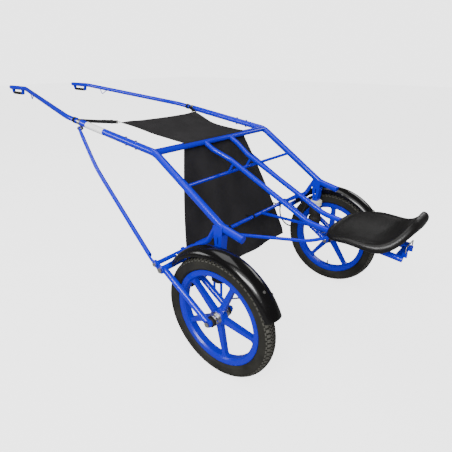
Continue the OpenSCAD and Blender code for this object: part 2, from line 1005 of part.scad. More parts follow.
// Mud screen: an apron stretched forward from the rod, and a drop that hangs down to its hem
rod_wrap = rod_d / 2 + near_gap + cloth_t / 2;
cross_wrap = cross_d / 2 + near_gap + cloth_t / 2;
drop_top = [cross_at[0] + cross_wrap, cross_at[2] - 3];
apron_sag = 14;
apron_dip = 42;
apron_waist = 26;
fold_h = 9;
drop_rows = 10;
apron_rows = 8;

function drop_line(t) = [mix(drop_top[0], hem_x, t), mix(drop_top[1], hem_z, t)];
function drop_half(t) = mix(screen_top_half, screen_hem_half, min(1, t * 1.06)) + 14 * sin(180 * t);
apron_back = [rod_at[0] + rod_wrap * cos(80), rod_at[2] + rod_wrap * sin(80)];
screen_rows = concat(
  [for (i = [0:apron_rows - 1])
    let (t = i / apron_rows)
    [
      mix(apron_x, apron_back[0], t),
      mix(apron_z, apron_back[1], t) - apron_sag * sin(180 * t),
      mix(apron_half, screen_top_half, t) - apron_waist * sin(180 * t),
      0,
      apron_dip * (1 - t)
    ]],
  [for (a = [80:25:180]) [rod_at[0] + rod_wrap * cos(a), rod_at[2] + rod_wrap * sin(a), screen_top_half, 0, 0]],
  [for (i = [0:drop_rows])
    let (t = i / drop_rows)
    concat(drop_line(t), drop_half(t), t, 0)]
);

function fold(t, v) = fold_h * t * cos(540 * v);
function row_dir(i) =
  let (a = screen_rows[max(0, i - 1)], b = screen_rows[min(len(screen_rows) - 1, i + 1)])
  unit([b[0] - a[0], b[1] - a[1]]);
function screen_point(i, v, side) =
  let (row = screen_rows[i], dir = row_dir(i), out = fold(row[3], v) + side * cloth_t / 2)
  [row[0] - dir[1] * out - row[4] * (1 - v * v), row[2] * v, row[1] + dir[0] * out];
screen_columns = 20;

module mud_screen() {
  m = len(screen_rows);
  n = screen_columns + 1;
  rings = [
    for (i = [0:m - 1])
      concat(
        [for (j = [0:n - 1]) screen_point(i, 2 * j / screen_columns - 1, 1)],
        [for (j = [n - 1:-1:0]) screen_point(i, 2 * j / screen_columns - 1, -1)]
      )
  ];
  points = [for (ring = rings) for (p = ring) p];
  w = 2 * n;
  sides = [
    for (k = [0:m - 2]) for (j = [0:w - 1])
      let (a = k * w + j, b = k * w + (j + 1) % w)
      each [[a, a + w, b], [b, a + w, b + w]]
  ];
  ends = [
    for (k = [0, m - 1]) for (j = [0:n - 2])
      let (a = k * w + j, b = a + 1, c = k * w + w - 1 - j, d = c - 1)
      each k == 0 ? [[a, b, c], [b, d, c]] : [[a, c, b], [b, c, d]]
  ];
  color(cloth)
    placed()
      polyhedron(points = points, faces = concat(sides, ends));
}

// Straps: one from each shaft to the apron's corner, and bands that tie the drop to the beam
strap_at_x = clamp_x + 46;
web_t = 2.5;
web_wide = 18;
tie_y = [105, 372];

module apron_strap() {
  shaft_at = on_shaft(strap_at_x);
  corner = [apron_x, apron_half, apron_z];
  dir = unit(corner - shaft_at);
  across = unit(cross([0, 0, 1], dir));
  ring_d = 22;
  ring_wire = 3.5;
  ring_at = corner - dir * (ring_d / 2 + ring_wire / 2 + 1);
  reach = norm(ring_at - shaft_at) - ring_d / 2;
  difference() {
    union() {
      run(shaft_at - front_dir * web_wide / 2, shaft_at + front_dir * web_wide / 2, shaft_d + 2 * web_t + 1);
      set_at(shaft_at, dir, across, cross(dir, across)) {
        translate([0, -web_t / 2, -web_wide / 2])
          cube([reach, web_t, web_wide]);
        translate([reach - 34, -web_t - 1, -web_wide / 2 - 3])
          cube([16, 2 * web_t + 2, web_wide + 6]);
      }
      set_at(ring_at, dir, across, cross(dir, across))
        rotate_extrude()
          translate([ring_d / 2, 0])
            circle(d = ring_wire);
    }
    run(shaft_at - front_dir * 60, shaft_at + front_dir * 60, shaft_d + 2 * hole_gap);
  }
}

module screen_tie(y) {
  t = (drop_top[1] - beam_z) / (drop_top[1] - hem_z);
  cloth_x = drop_line(t)[0] - abs(fold(t, y / drop_half(t))) - cloth_t;
  wide = 14;
  difference() {
    union() {
      along_y(beam_at, y - wide / 2, y + wide / 2, beam_d + 5);
      translate([beam_x, y - wide / 2, beam_z - 1.25])
        cube([cloth_x - beam_x - near_gap, wide, 2.5]);
    }
    along_y(beam_at, y - wide, y + wide, beam_d + 2 * hole_gap);
  }
}

module screen_straps() {
  color(cloth)
    both_sides() {
      apron_strap();
      for (y = tie_y)
        screen_tie(y);
    }
}

// Fork: pivot sleeve, an arm on each side of the wheel, axle eyes and the spring's two legs
eye_t_fork = 12;
fork_eye_d = 34;
axle_room = 2 * hub_r + 4;
leg_d = 12;
leg_x = [-20, 20];
tab_r = [fender_r - fender_wall - 9, fender_r - fender_wall - 4];

function arm_y(k) = half_track + k * arm_out;

module fork(s) {
  color(paint)
    placed(s)
      difference() {
        union() {
          along_y(pivot_at, arm_y(-1) - arm_d / 2, arm_y(1) + arm_d / 2, sleeve_d);
          for (k = [-1, 1]) {
            run([pivot_x, arm_y(k), pivot_z], [0, arm_y(k), axle_z], arm_d);
            along_y([0, 0, axle_z], arm_y(k) - eye_t_fork / 2, arm_y(k) + eye_t_fork / 2, fork_eye_d);
          }
          for (dx = leg_x)
            translate([spring_x + dx, arm_y(-1) - 9, mix(axle_z, pivot_z, (spring_x + dx) / pivot_x)])
              cylinder(
                h = spring_foot_z - spring_plate_t - mix(axle_z, pivot_z, (spring_x + dx) / pivot_x),
                d = leg_d
              );
          about_axle()
            rotate([0, 0, atan2(pivot_z - axle_z, pivot_x)])
              rotate_extrude(angle = 11)
                translate([tab_r[0], -18])
                  square([tab_r[1] - tab_r[0], 36]);
          about_axle()
            rotate([0, 0, atan2(pivot_z - axle_z, pivot_x)])
              rotate_extrude(angle = fender_front - atan2(pivot_z - axle_z, pivot_x) - 0.6)
                translate([tab_r[0], -fender_half])
                  square([tab_r[1] - tab_r[0], 2 * fender_half]);
        }
        along_y(pivot_at, arm_y(-1) - arm_d, arm_y(1) + arm_d, pivot_d + 2 * run_gap);
        along_y([0, 0, axle_z], arm_y(-1) - arm_d, arm_y(1) + arm_d, axle_d + 2 * hole_gap);
        for (k = [-1, 1])
          about_axle()
            translate([0, 0, k == -1 ? arm_out + eye_t_fork / 2 : -arm_out - eye_t_fork / 2 - 30])
              cylinder(h = 30, d = 32);
        about_axle()
          translate([0, 0, -arm_out + eye_t_fork / 2])
            cylinder(h = 2 * arm_out - eye_t_fork, d = axle_room);
      }
}

module left_fork() {
  fork(1);
}

module right_fork() {
  fork(-1);
}

module pivot_bolt(s) {
  inner = lug_in_y;
  outer = beam_end + lug_t;
  color(zinc)
    placed(s) {
      along_y(pivot_at, inner - 10, outer + 8, pivot_d);
      hex_along_y(pivot_at, outer, outer + 8, 24);
      hex_along_y(pivot_at, inner - 9, inner, 24);
    }
}

module left_pivot_bolt() {
  pivot_bolt(1);
}

module right_pivot_bolt() {
  pivot_bolt(-1);
}

// Fender: a rounded channel swept round the axle
module fender(s) {
  outer = [for (a = [-90:15:90]) [fender_r - fender_deep + fender_deep * cos(a), fender_half * sin(a)]];
  inner = [
    for (a = [90:-15:-90])
      [
        fender_r - fender_deep + (fender_deep - fender_wall) * cos(a),
        (fender_half - fender_wall) * sin(a)
      ]
  ];
  color(gloss_black)
    placed(s)
      difference() {
        about_axle()
          rotate([0, 0, fender_front])
            rotate_extrude(angle = fender_rear - fender_front)
              polygon(concat(outer, inner));
        stay_rivets(bolt_d + 2 * hole_gap);
      }
}

module left_fender() {
  fender(1);
}

module right_fender() {
  fender(-1);
}

// Stay that steadies the fender's rear from the inner fork arm, with the fender's fasteners
stay_angle = 141;
fender_tab_angle = 41;
rivet_r = fender_r - fender_deep + 6;
top_rivet_angle = 136;
top_rivet_out = 12;
rivet_d = 12;

function skirt(r, wall) =
  (fender_half - wall) * sin(acos((r - fender_r + fender_deep) / (fender_deep - wall)));
function crown(y, wall) =
  fender_r - fender_deep + (fender_deep - wall) * sqrt(1 - pow(y / (fender_half - wall), 2));

module stay_rivets(d) {
  about_axle() {
    rotate([0, 0, stay_angle])
      translate([rivet_r, 0, fender_half - 14])
        cylinder(h = 20, d = d);
    rotate([0, 0, fender_tab_angle])
      translate([fender_r - 16, 0, 0])
        rotate([0, 90, 0])
          cylinder(h = 20, d = d);
    rotate([0, 0, top_rivet_angle])
      translate([fender_r - 16, 0, -top_rivet_out])
        rotate([0, 90, 0])
          cylinder(h = 20, d = d);
  }
}

module fender_stay(s) {
  rod_stay_d = 7;
  rivet_at = [rivet_r * cos(stay_angle), half_track - fender_half + 8, axle_z + rivet_r * sin(stay_angle)];
  root = [46, arm_y(-1), mix(axle_z, pivot_z, 46 / pivot_x)];
  inside = half_track - skirt(rivet_r + rivet_d / 2, fender_wall) + near_gap;
  outside = half_track - skirt(rivet_r - rivet_d / 2, 0) - near_gap;
  over = crown(top_rivet_out - rivet_d / 2, 0) + near_gap;
  under = crown(top_rivet_out + rivet_d / 2, fender_wall) - near_gap;
  color(zinc)
    placed(s) {
      difference() {
        union() {
          run(root, rivet_at, rod_stay_d);
          along_y(rivet_at, inside, rivet_at[1] + 3, rivet_d);
          along_y(rivet_at, outside - 3, rivet_at[1], bolt_d);
          along_y(rivet_at, outside - 3, outside, rivet_d);
        }
        run([pivot_x, arm_y(-1), pivot_z], [0, arm_y(-1), axle_z], arm_d);
        along_y([0, 0, axle_z], arm_y(-1) - 40, arm_y(-1) + 40, fork_eye_d);
      }
      about_axle() {
        rotate([0, 0, fender_tab_angle])
          translate([tab_r[1], 0, 0])
            rotate([0, 90, 0]) {
              cylinder(h = fender_r + near_gap - tab_r[1], d = bolt_d);
              translate([0, 0, fender_r + near_gap - tab_r[1]])
                cylinder(h = 3.5, d = rivet_d);
            }
        rotate([0, 0, top_rivet_angle])
          translate([under - 3, 0, -top_rivet_out])
            rotate([0, 90, 0]) {
              cylinder(h = over - under + 4, d = bolt_d);
              cylinder(h = 3, d = rivet_d);
              translate([0, 0, over - under + 3])
                cylinder(h = 3, d = rivet_d);
            }
      }
    }
}

module left_fender_stay() {
  fender_stay(1);
}

module right_fender_stay() {
  fender_stay(-1);
}

// Axle through the fork's eyes, with its head outside and its nut inside
module axle(s) {
  inner = arm_y(-1) - eye_t_fork / 2;
  outer = arm_y(1) + eye_t_fork / 2;
  at = [0, 0, axle_z];
  color(zinc)
    placed(s) {
      along_y(at, inner - 12, outer + 9, axle_d);
      hex_along_y(at, outer, outer + 9, 22);
      hex_along_y(at, inner - 10, inner, 22);
    }
}

module left_axle() {
  axle(1);
}

module right_axle() {
  axle(-1);
}

// Spacers between the fork's eyes and the hub
module spacers(s) {
  inner = hub_half + near_gap;
  outer = arm_out - eye_t_fork / 2;
  color(rubber)
    placed(s)
      for (k = [-1, 1])
        about_axle()
          mirror([0, 0, k < 0 ? 1 : 0])
            translate([0, 0, inner])
              difference() {
                rotate_extrude()
                  polygon([
                    [0, 0], [hub_r - 1, 0], [hub_r + 1, 2], [hub_r + 1, outer - inner - 3],
                    [hub_r - 2, outer - inner], [0, outer - inner]
                  ]);
                translate([0, 0, -1])
                  cylinder(h = outer - inner + 2, d = axle_d + 2 * hole_gap);
              }
}

module left_spacers() {
  spacers(1);
}

module right_spacers() {
  spacers(-1);
}

// Cast wheel: a channelled rim on tapered spokes that flare into it
boss_r = 36;
boss_half = 16;
rim_in = rim_r - 29;
flare_r = 16;
spoke_root = 15;
spoke_waist = 10;
valve_d = 8;

module rim_section() {
  half = rim_w / 2;
  polygon([
    [rim_in, 9 - half], [rim_in + 6, 1 - half], [rim_r - 3, -half], [rim_r, 1 - half], [rim_r, 4 - half],
    [rim_r - 13, 6 - half], [rim_r - 15, 15 - half], [rim_r - 21, 16 - half], [rim_r - 21, half - 16],
    [rim_r - 15, half - 15], [rim_r - 13, half - 6], [rim_r, half - 4], [rim_r, half - 1], [rim_r - 3, half],
    [rim_in + 6, half - 1], [rim_in, half - 9]
  ]);
}

module spoke_outline() {
  side = [
    [boss_r - 8, spoke_root],
    for (a = [0:15:75]) [rim_in - flare_r + flare_r * sin(a), spoke_waist + flare_r * (1 - cos(a))],
    [rim_in + 4, spoke_waist + flare_r]
  ];
  polygon(concat(side, [for (i = [len(side) - 1:-1:0]) [side[i][0], -side[i][1]]]));
}

module rim(s, turn) {
  color(paint)
    placed(s)
      about_axle()
        rotate([0, 0, turn])
          difference() {
            union() {
              rotate_extrude()
                rim_section();
              cylinder(h = 2 * boss_half, r = boss_r, center = true);
              for (i = [0:spoke_n - 1])
                rotate([0, 0, i * 360 / spoke_n])
                  translate([0, 0, -spoke_t / 2])
                    linear_extrude(spoke_t)
                      spoke_outline();
            }
            cylinder(h = 2 * boss_half + 2, r = hub_r, center = true);
            rotate([0, 0, 180])
              translate([rim_in - 10, 0, 0])
                rotate([0, 90, 0])
                  cylinder(h = 30, d = valve_d + 2 * hole_gap);
            difference() {
              cylinder(h = 30, r = rim_r + 1, center = true);
              cylinder(h = 32, r = rim_r - 21, center = true);
            }
          }
}

module left_rim() {
  rim(1, 258.7);
}

module right_rim() {
  rim(-1, 90);
}

// Tyre with its shoulder blocks, and the valve stem that comes through the rim
block_n = 60;
gap_wide = 7;

module tyre_section() {
  half = tyre_w / 2;
  bead = rim_w / 2 - 6.5;
  seat_r = rim_r - 12.5;
  polygon([
    [seat_r, -bead], [rim_r + 1, 0.6 - bead - 3], [rim_r + 6, 2 - half], [mix(rim_r, tyre_r, 0.45), -half],
    [tyre_r - 16, 2 - half], [tyre_r - 15, -half], [tyre_r - 9, 3 - half], [tyre_r - 3, 12 - half],
    [tyre_r - 6, 14 - half], [tyre_r - 5, 16 - half], [tyre_r - 1, 17 - half], [tyre_r, 24 - half],
    [tyre_r, half - 24], [tyre_r - 1, half - 17], [tyre_r - 5, half - 16], [tyre_r - 6, half - 14],
    [tyre_r - 3, half - 12], [tyre_r - 9, half - 3], [tyre_r - 15, half], [tyre_r - 16, half - 2],
    [mix(rim_r, tyre_r, 0.45), half], [rim_r + 6, half - 2], [rim_r + 1, bead + 2.4], [seat_r, bead],
    [seat_r + 6, bead - 3], [tyre_r - 18, half - 8], [tyre_r - 10, 0], [tyre_r - 18, 8 - half],
    [seat_r + 6, 3 - bead]
  ]);
}

// Gaps between the shoulder blocks
module tread_gaps() {
  step = 360 / block_n;
  for (k = [0, 1], i = [0:block_n - 1])
    mirror([0, 0, k])
      rotate([0, 0, (i + k / 2) * step])
        translate([tyre_r - 12, -gap_wide / 2, tyre_w / 2 - 13])
          cube([20, gap_wide, 20]);
}

module tyre(s, turn) {
  color(rubber)
    placed(s)
      about_axle() {
        difference() {
          rotate_extrude()
            tyre_section();
          tread_gaps();
        }
        rotate([0, 0, turn + 180])
          translate([rim_in - 26, 0, 0])
            rotate([0, 90, 0]) {
              cylinder(h = 26 + 8, d = valve_d);
              translate([0, 0, 26 + 8])
                cylinder(h = 4, d = 16);
            }
      }
}

module left_tyre() {
  tyre(1, 258.7);
}

module right_tyre() {
  tyre(-1, 90);
}

// Hub with a coned flange on each side of the rim's boss, and its two bearings
flange_r = 31;

module hub(s) {
  color(zinc)
    placed(s)
      about_axle()
        difference() {
          union() {
            cylinder(h = 2 * hub_half, r = hub_r, center = true);
            for (k = [0, 1])
              mirror([0, 0, k])
                translate([0, 0, boss_half])
                  rotate_extrude()
                    polygon([
                      [0, 0], [flange_r, 0], [flange_r, 4], [hub_r + 3, 16], [hub_r + 3, hub_half - boss_half - 4],
                      [hub_r + 1, hub_half - boss_half], [0, hub_half - boss_half]
                    ]);
          }
          cylinder(h = 2 * hub_half + 2, d = axle_d + 6, center = true);
          for (k = [0, 1])
            mirror([0, 0, k])
              translate([0, 0, hub_half - bearing_w])
                cylinder(h = bearing_w + 1, d = bearing_d);
        }
}

module left_hub() {
  hub(1);
}

module right_hub() {
  hub(-1);
}

module bearings(s) {
  color(zinc)
    placed(s)
      about_axle()
        for (k = [0, 1])
          mirror([0, 0, k])
            translate([0, 0, hub_half - bearing_w])
              difference() {
                cylinder(h = bearing_w, d = bearing_d);
                translate([0, 0, -1])
                  cylinder(h = bearing_w + 2, d = axle_d + 2 * run_gap);
                translate([0, 0, bearing_w - 1])
                  difference() {
                    cylinder(h = 2, d = bearing_d - 7);
                    cylinder(h = 2, d = axle_d + 7);
                  }
              }
}

module left_bearings() {
  bearings(1);
}

module right_bearings() {
  bearings(-1);
}

// Ribbed air hose on each side, from a fitting under the beam to the spring's top ring
hose_r = 4.5;
hose_bore = 2.4;
rib_pitch = 8;
hose_y = spring_y - 40;
hose_points = [
  [beam_x, hose_y, beam_z - 27], [290, hose_y - 1, 415], [276, hose_y - 5, 380], [240, hose_y - 16, 356],
  [198, hose_y - 24, 352], [160, hose_y - 25, 378], [138, hose_y - 18, 425], [124, hose_y - 8, 468],
  [spring_x + 44, hose_y - 2, spring_ring_z - 6], [spring_x + 40, hose_y + 1, spring_ring_z + 15]
];
fitting_at = [beam_x, hose_y, beam_z];
port_angle = atan2(hose_points[9][1] - spring_y, hose_points[9][0] - spring_x);

function spline(p, i, t) =
  let (a = p[max(0, i - 1)], b = p[i], c = p[i + 1], d = p[min(len(p) - 1, i + 2)])
  0.5 * (2 * b + (c - a) * t + (2 * a - 5 * b + 4 * c - d) * t * t + (3 * b - a - 3 * c + d) * t * t * t);
hose_line = [
  for (i = [0:len(hose_points) - 2])
    for (k = [0:9])
      spline(hose_points, i, k / 10),
  hose_points[len(hose_points) - 1]
];
function line_sum(p, i = 0, s = 0) = i == len(p) - 1 ? [s] : concat([s], line_sum(p, i + 1, s + norm(p[i + 1] - p[i])));
hose_sums = line_sum(hose_line);
hose_len = hose_sums[len(hose_sums) - 1];
function at_length(s) =
  let (i = min(len(hose_line) - 2, max([for (k = [0:len(hose_sums) - 1]) hose_sums[k] <= s ? k : 0])))
  mix(hose_line[i], hose_line[i + 1], (s - hose_sums[i]) / (hose_sums[i + 1] - hose_sums[i]));
function hose_ring(s, r) =
  let (
    p = at_length(s),
    dir = unit(at_length(min(hose_len, s + 2)) - at_length(max(0, s - 2))),
    x = unit(cross(dir, [0, 1, 0])),
    y = cross(dir, x)
  )
  [for (k = [0:7]) p + r * (x * cos(45 * k) + y * sin(45 * k))];
hose_ribs = floor((hose_len - 4 * hose_r) / rib_pitch);
rib_from = (hose_len - hose_ribs * rib_pitch) / 2;

// Least distance between stretches of the hose that are not neighbours
hose_self_gap = min([
  for (i = [0:5:len(hose_line) - 1]) for (j = [i + 15:5:len(hose_line) - 1])
    norm(hose_line[i] - hose_line[j]) - 2 * hose_r
]);
echo(hose_self_gap = hose_self_gap);

module air_hoses() {
  root = hose_r - 0.9;
  rings = concat(
    [hose_ring(0, root)],
    [for (i = [0:hose_ribs - 1]) each [
      hose_ring(rib_from + i * rib_pitch, root),
      hose_ring(rib_from + (i + 0.5) * rib_pitch, hose_r)
    ]],
    [hose_ring(hose_len, root)],
    [for (i = [len(hose_points) * 2:-1:0]) hose_ring(hose_len * i / (len(hose_points) * 2), hose_bore)]
  );
  n = 8;
  m = len(rings);
  points = [for (ring = rings) for (p = ring) p];
  faces = [
    for (k = [0:m - 1]) for (j = [0:n - 1])
      let (a = k * n + j, b = k * n + (j + 1) % n, c = ((k + 1) % m) * n)
      each [[a, b, c + j], [b, c + (j + 1) % n, c + j]]
  ];
  color(rubber)
    both_sides()
      polyhedron(points = points, faces = faces);
}

module air_fittings() {
  start = hose_points[0];
  finish = hose_points[len(hose_points) - 1];
  port_z = finish[2] + 6;
  color(zinc)
    both_sides() {
      difference() {
        translate([fitting_at[0], fitting_at[1], start[2] + 0.6])
          cylinder(h = beam_z - start[2] - 0.6, d = 11);
        along_y(beam_at, 0, beam_end, beam_d);
      }
      translate(finish + [0, 0, 1.1])
        cylinder(h = 11, d = 11);
      difference() {
        run([finish[0], finish[1], port_z], [spring_x, spring_y, port_z], 9);
        translate([spring_x, spring_y, spring_ring_z])
          cylinder(h = spring_ring_h, r = ring_r);
      }
    }
}

left_side_rail();
right_side_rail();
front_cross_tube();
screen_rod();
foot_tube();
seat_struts();
left_seat_rail();
right_seat_rail();
rail_end_plate();
axle_beam();
left_hanger();
right_hanger();
left_spring_bracket();
right_spring_bracket();
spring_rings();
left_bellows();
right_bellows();
left_spring_foot();
right_spring_foot();
left_front_shaft();
right_front_shaft();
frame_bolts();
shaft_clamps();
left_stay();
right_stay();
left_hitch();
right_hitch();
hitch_sleeves();
strap_loops();
left_seat_brace();
right_seat_brace();
mud_screen();
screen_straps();
left_fork();
right_fork();
left_pivot_bolt();
right_pivot_bolt();
left_fender();
right_fender();
left_fender_stay();
right_fender_stay();
left_axle();
right_axle();
left_rim();
right_rim();
left_tyre();
right_tyre();
left_hub();
right_hub();
left_bearings();
right_bearings();
left_spacers();
right_spacers();
seat_pad();
seat_shell();
seat_frame();
seat_bail();
air_hoses();
air_fittings();
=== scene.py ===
# %% [markdown]
# # A trotting sulky
# The sulky is a two-wheeled cart of blue painted tube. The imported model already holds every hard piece:
# tubes, forks, rims, hubs, brackets and bolts. This lesson gives those pieces their finishes, and models
# what a modeller of solids leaves plain: air hoses, tyres with tread, smooth fenders, the bend of the
# stays, the air springs' rubber sleeves, the seat, the mud screen and its straps.

# %% Load the frame
import json
import math

import bmesh
import bpy
from mathutils import Matrix, Vector

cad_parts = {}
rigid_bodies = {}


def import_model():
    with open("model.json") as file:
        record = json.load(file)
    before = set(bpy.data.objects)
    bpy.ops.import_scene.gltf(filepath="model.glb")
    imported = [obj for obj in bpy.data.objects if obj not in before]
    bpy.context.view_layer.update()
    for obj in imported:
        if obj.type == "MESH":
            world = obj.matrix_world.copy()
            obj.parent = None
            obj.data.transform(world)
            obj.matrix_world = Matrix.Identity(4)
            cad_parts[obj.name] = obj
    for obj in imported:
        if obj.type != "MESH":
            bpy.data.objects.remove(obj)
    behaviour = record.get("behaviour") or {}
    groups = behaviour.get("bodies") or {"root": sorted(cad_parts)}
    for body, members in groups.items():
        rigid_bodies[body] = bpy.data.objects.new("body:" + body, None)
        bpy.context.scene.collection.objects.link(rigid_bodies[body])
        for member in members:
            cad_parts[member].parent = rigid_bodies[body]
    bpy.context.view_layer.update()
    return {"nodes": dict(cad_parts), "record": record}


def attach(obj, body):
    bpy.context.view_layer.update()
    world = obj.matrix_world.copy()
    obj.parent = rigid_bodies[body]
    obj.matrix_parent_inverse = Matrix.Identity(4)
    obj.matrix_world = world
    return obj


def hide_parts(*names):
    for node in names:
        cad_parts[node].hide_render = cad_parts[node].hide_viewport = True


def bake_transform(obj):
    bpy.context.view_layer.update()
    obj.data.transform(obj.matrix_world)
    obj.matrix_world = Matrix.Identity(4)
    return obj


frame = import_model()

# %% [markdown]
# The sulky was drawn in millimetres about the wheels' axle line, with the ground at zero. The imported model
# has its middle at zero, so one small function turns a drawing place into a place in the scene.

# %% Places
MIDDLE = 842.0
HALF_TRACK = 524.0
AXLE_Z = 280.0
RAIL_Y = 427.0
KNEE = (459.0, 898.0)
BEAM = (291.0, 467.0)
SIDES = (("left", 1), ("right", -1))
FULL_TURN = 2 * math.pi
LEFT = Vector((0.0, 1.0, 0.0))
UP = Vector((0.0, 0.0, 1.0))


def at(x, y, z):
    return Vector(((x - MIDDLE) / 1000.0, y / 1000.0, z / 1000.0))


def mix(a, b, t):
    return a + (b - a) * t


def wheel_middle(side):
    return at(0.0, side * HALF_TRACK, AXLE_Z)


print("left wheel's middle:", tuple(wheel_middle(1)))

# %% [markdown]
# ## Camera, floor and light
# The camera stands behind and to the left of the seat, a little above it. Its three axes are written
# straight into a matrix. The floor is one pale sheet, and four soft lamps give the long gentle highlights
# that painted tubes show in a studio. Their light stays low, so that the blue and the blacks keep their
# depth.

# %% Camera
CAMERA_AT = (-1.741, 1.546, 1.295)
camera_data = bpy.data.cameras.new("camera")
camera_data.lens = 30.77
camera_data.sensor_width = 36.0
camera_data.clip_end = 60.0
camera = bpy.data.objects.new("camera", camera_data)
bpy.context.scene.collection.objects.link(camera)
right = Vector((-0.765, -0.644, 0.0)).normalized()
ahead = Vector((0.590, -0.701, -0.400)).normalized()
above = right.cross(ahead).normalized()
turn = Matrix((right, above, -ahead)).transposed().to_4x4()
camera.matrix_world = Matrix.Translation(CAMERA_AT) @ turn
bpy.context.scene.camera = camera

# %% Floor and lamps
bpy.ops.mesh.primitive_grid_add(x_subdivisions=2, y_subdivisions=2, size=40.0, location=(0.0, 0.0, 0.0))
floor = bpy.context.active_object
floor.name = "floor"


def soft_lamp(name, place, target, size, power):
    lamp_data = bpy.data.lights.new(name, "AREA")
    lamp_data.shape = "RECTANGLE"
    lamp_data.size = size[0]
    lamp_data.size_y = size[1]
    lamp_data.energy = power
    lamp = bpy.data.objects.new(name, lamp_data)
    bpy.context.scene.collection.objects.link(lamp)
    away = (Vector(place) - Vector(target)).normalized()
    lamp.matrix_world = Matrix.Translation(place) @ away.to_track_quat("Z", "Y").to_matrix().to_4x4()


soft_lamp("top_lamp", (0.4, 0.3, 4.2), (0.0, 0.0, 0.4), (3.0, 2.2), 42.0)
soft_lamp("key_lamp", (-2.0, 3.2, 2.9), (-0.3, 0.0, 0.5), (2.4, 1.2), 145.0)
soft_lamp("front_lamp", (2.8, 2.8, 2.2), (0.3, 0.0, 0.6), (1.8, 1.2), 35.0)
soft_lamp("far_lamp", (-1.4, -3.6, 2.6), (-0.2, 0.0, 0.5), (2.0, 1.2), 24.0)
print("lamps:", len(bpy.data.lights))

# %% [markdown]
# ## Shared effects
# Paint, rubber, metal and cloth all need small changes over their surface. Each effect is a shader node
# group that puts out a mask or a height, so that every material can use it at its own scale.

# %% Group helpers


def new_group(name, inputs, outputs):
    group = bpy.data.node_groups.new(name, "ShaderNodeTree")
    for label, kind, value in inputs:
        socket = group.interface.new_socket(name=label, in_out="INPUT", socket_type=kind)
        if value is not None:
            socket.default_value = value
    for label in outputs:
        group.interface.new_socket(name=label, in_out="OUTPUT", socket_type="NodeSocketFloat")
    entry = group.nodes.new("NodeGroupInput")
    leave = group.nodes.new("NodeGroupOutput")
    return group, entry, leave


def put(tree, kind, **settings):
    made = tree.nodes.new(kind)
    for key, value in settings.items():
        setattr(made, key, value)
    return made


def set_inputs(made, values):
    for label, value in values.items():
        made.inputs[label].default_value = value


def math_node(tree, operation, first, second=None):
    made = put(tree, "ShaderNodeMath", operation=operation)
    for slot, value in ((0, first), (1, second)):
        if value is None:
            continue
        if isinstance(value, (int, float)):
            made.inputs[slot].default_value = value
        else:
            tree.links.new(value, made.inputs[slot])
    return made.outputs[0]


def spread(tree, value, low, high, out_low=0.0, out_high=1.0):
    made = put(tree, "ShaderNodeMapRange")
    tree.links.new(value, made.inputs["Value"])
    set_inputs(made, {"From Min": low, "From Max": high, "To Min": out_low, "To Max": out_high})
    return made.outputs["Result"]


def cloud(tree, vector, scale, detail=4.0, rough=0.55):
    made = put(tree, "ShaderNodeTexNoise")
    tree.links.new(vector, made.inputs["Vector"])
    if isinstance(scale, (int, float)):
        made.inputs["Scale"].default_value = scale
    else:
        tree.links.new(scale, made.inputs["Scale"])
    set_inputs(made, {"Detail": detail, "Roughness": rough})
    return made.outputs["Fac"]


def stretched(tree, vector, factors):
    made = put(tree, "ShaderNodeVectorMath", operation="MULTIPLY")
    tree.links.new(vector, made.inputs[0])
    made.inputs[1].default_value = factors
    return made.outputs["Vector"]


# %% [markdown]
# Handling marks are the soft patches and short scratches that a cart gathers in a stable yard. Patches come
# from a broad noise, scratches from a noise pulled long in one direction.

# %% Handling marks group
marks_group, entry, leave = new_group(
    "Handling marks",
    [
        ("Vector", "NodeSocketVector", None),
        ("Scale", "NodeSocketFloat", 9.0),
        ("Amount", "NodeSocketFloat", 0.5),
    ],
    ["Mask", "Height"],
)
broad = cloud(marks_group, entry.outputs["Vector"], entry.outputs["Scale"])
patches = spread(marks_group, broad, 0.48, 0.74)
long_way = stretched(marks_group, entry.outputs["Vector"], (3.0, 3.0, 60.0))
scratches = spread(marks_group, cloud(marks_group, long_way, 14.0, 2.0), 0.66, 0.72)
both = math_node(marks_group, "MAXIMUM", math_node(marks_group, "MULTIPLY", scratches, 0.6), patches)
wear_and_highlight = math_node(marks_group, "MULTIPLY", both, entry.outputs["Amount"])
marks_group.links.new(wear_and_highlight, leave.inputs["Mask"])
peel = cloud(marks_group, entry.outputs["Vector"], 420.0, 2.0)
marks_group.links.new(math_node(marks_group, "SUBTRACT", peel, scratches), leave.inputs["Height"])
print("group:", marks_group.name)

# %% [markdown]
# A plain weave is threads that go over and under in turn. Two sine ridges stand for the two threads, and
# the sum of the cell numbers, odd or even, says which one lies on top.

# %% Plain weave group
weave_group, entry, leave = new_group(
    "Plain weave",
    [("Vector", "NodeSocketVector", None), ("Threads", "NodeSocketFloat", 700.0)],
    ["Height", "Shade"],
)
grown = put(weave_group, "ShaderNodeVectorMath", operation="SCALE")
weave_group.links.new(entry.outputs["Vector"], grown.inputs[0])
weave_group.links.new(entry.outputs["Threads"], grown.inputs["Scale"])
parts = put(weave_group, "ShaderNodeSeparateXYZ")
weave_group.links.new(grown.outputs["Vector"], parts.inputs[0])
ridges = []
cells = []
for axis in ("X", "Y"):
    wave = math_node(weave_group, "SINE", math_node(weave_group, "MULTIPLY", parts.outputs[axis], math.pi))
    ridges.append(math_node(weave_group, "ABSOLUTE", wave))
    cells.append(math_node(weave_group, "FLOOR", parts.outputs[axis]))
odd = math_node(weave_group, "FLOORED_MODULO", math_node(weave_group, "ADD", cells[0], cells[1]), 2.0)
even = math_node(weave_group, "SUBTRACT", 1.0, odd)
top_a = math_node(weave_group, "MULTIPLY", ridges[0], odd)
top_b = math_node(weave_group, "MULTIPLY", ridges[1], even)
thread = math_node(weave_group, "ADD", top_a, top_b)
weave_group.links.new(thread, leave.inputs["Height"])
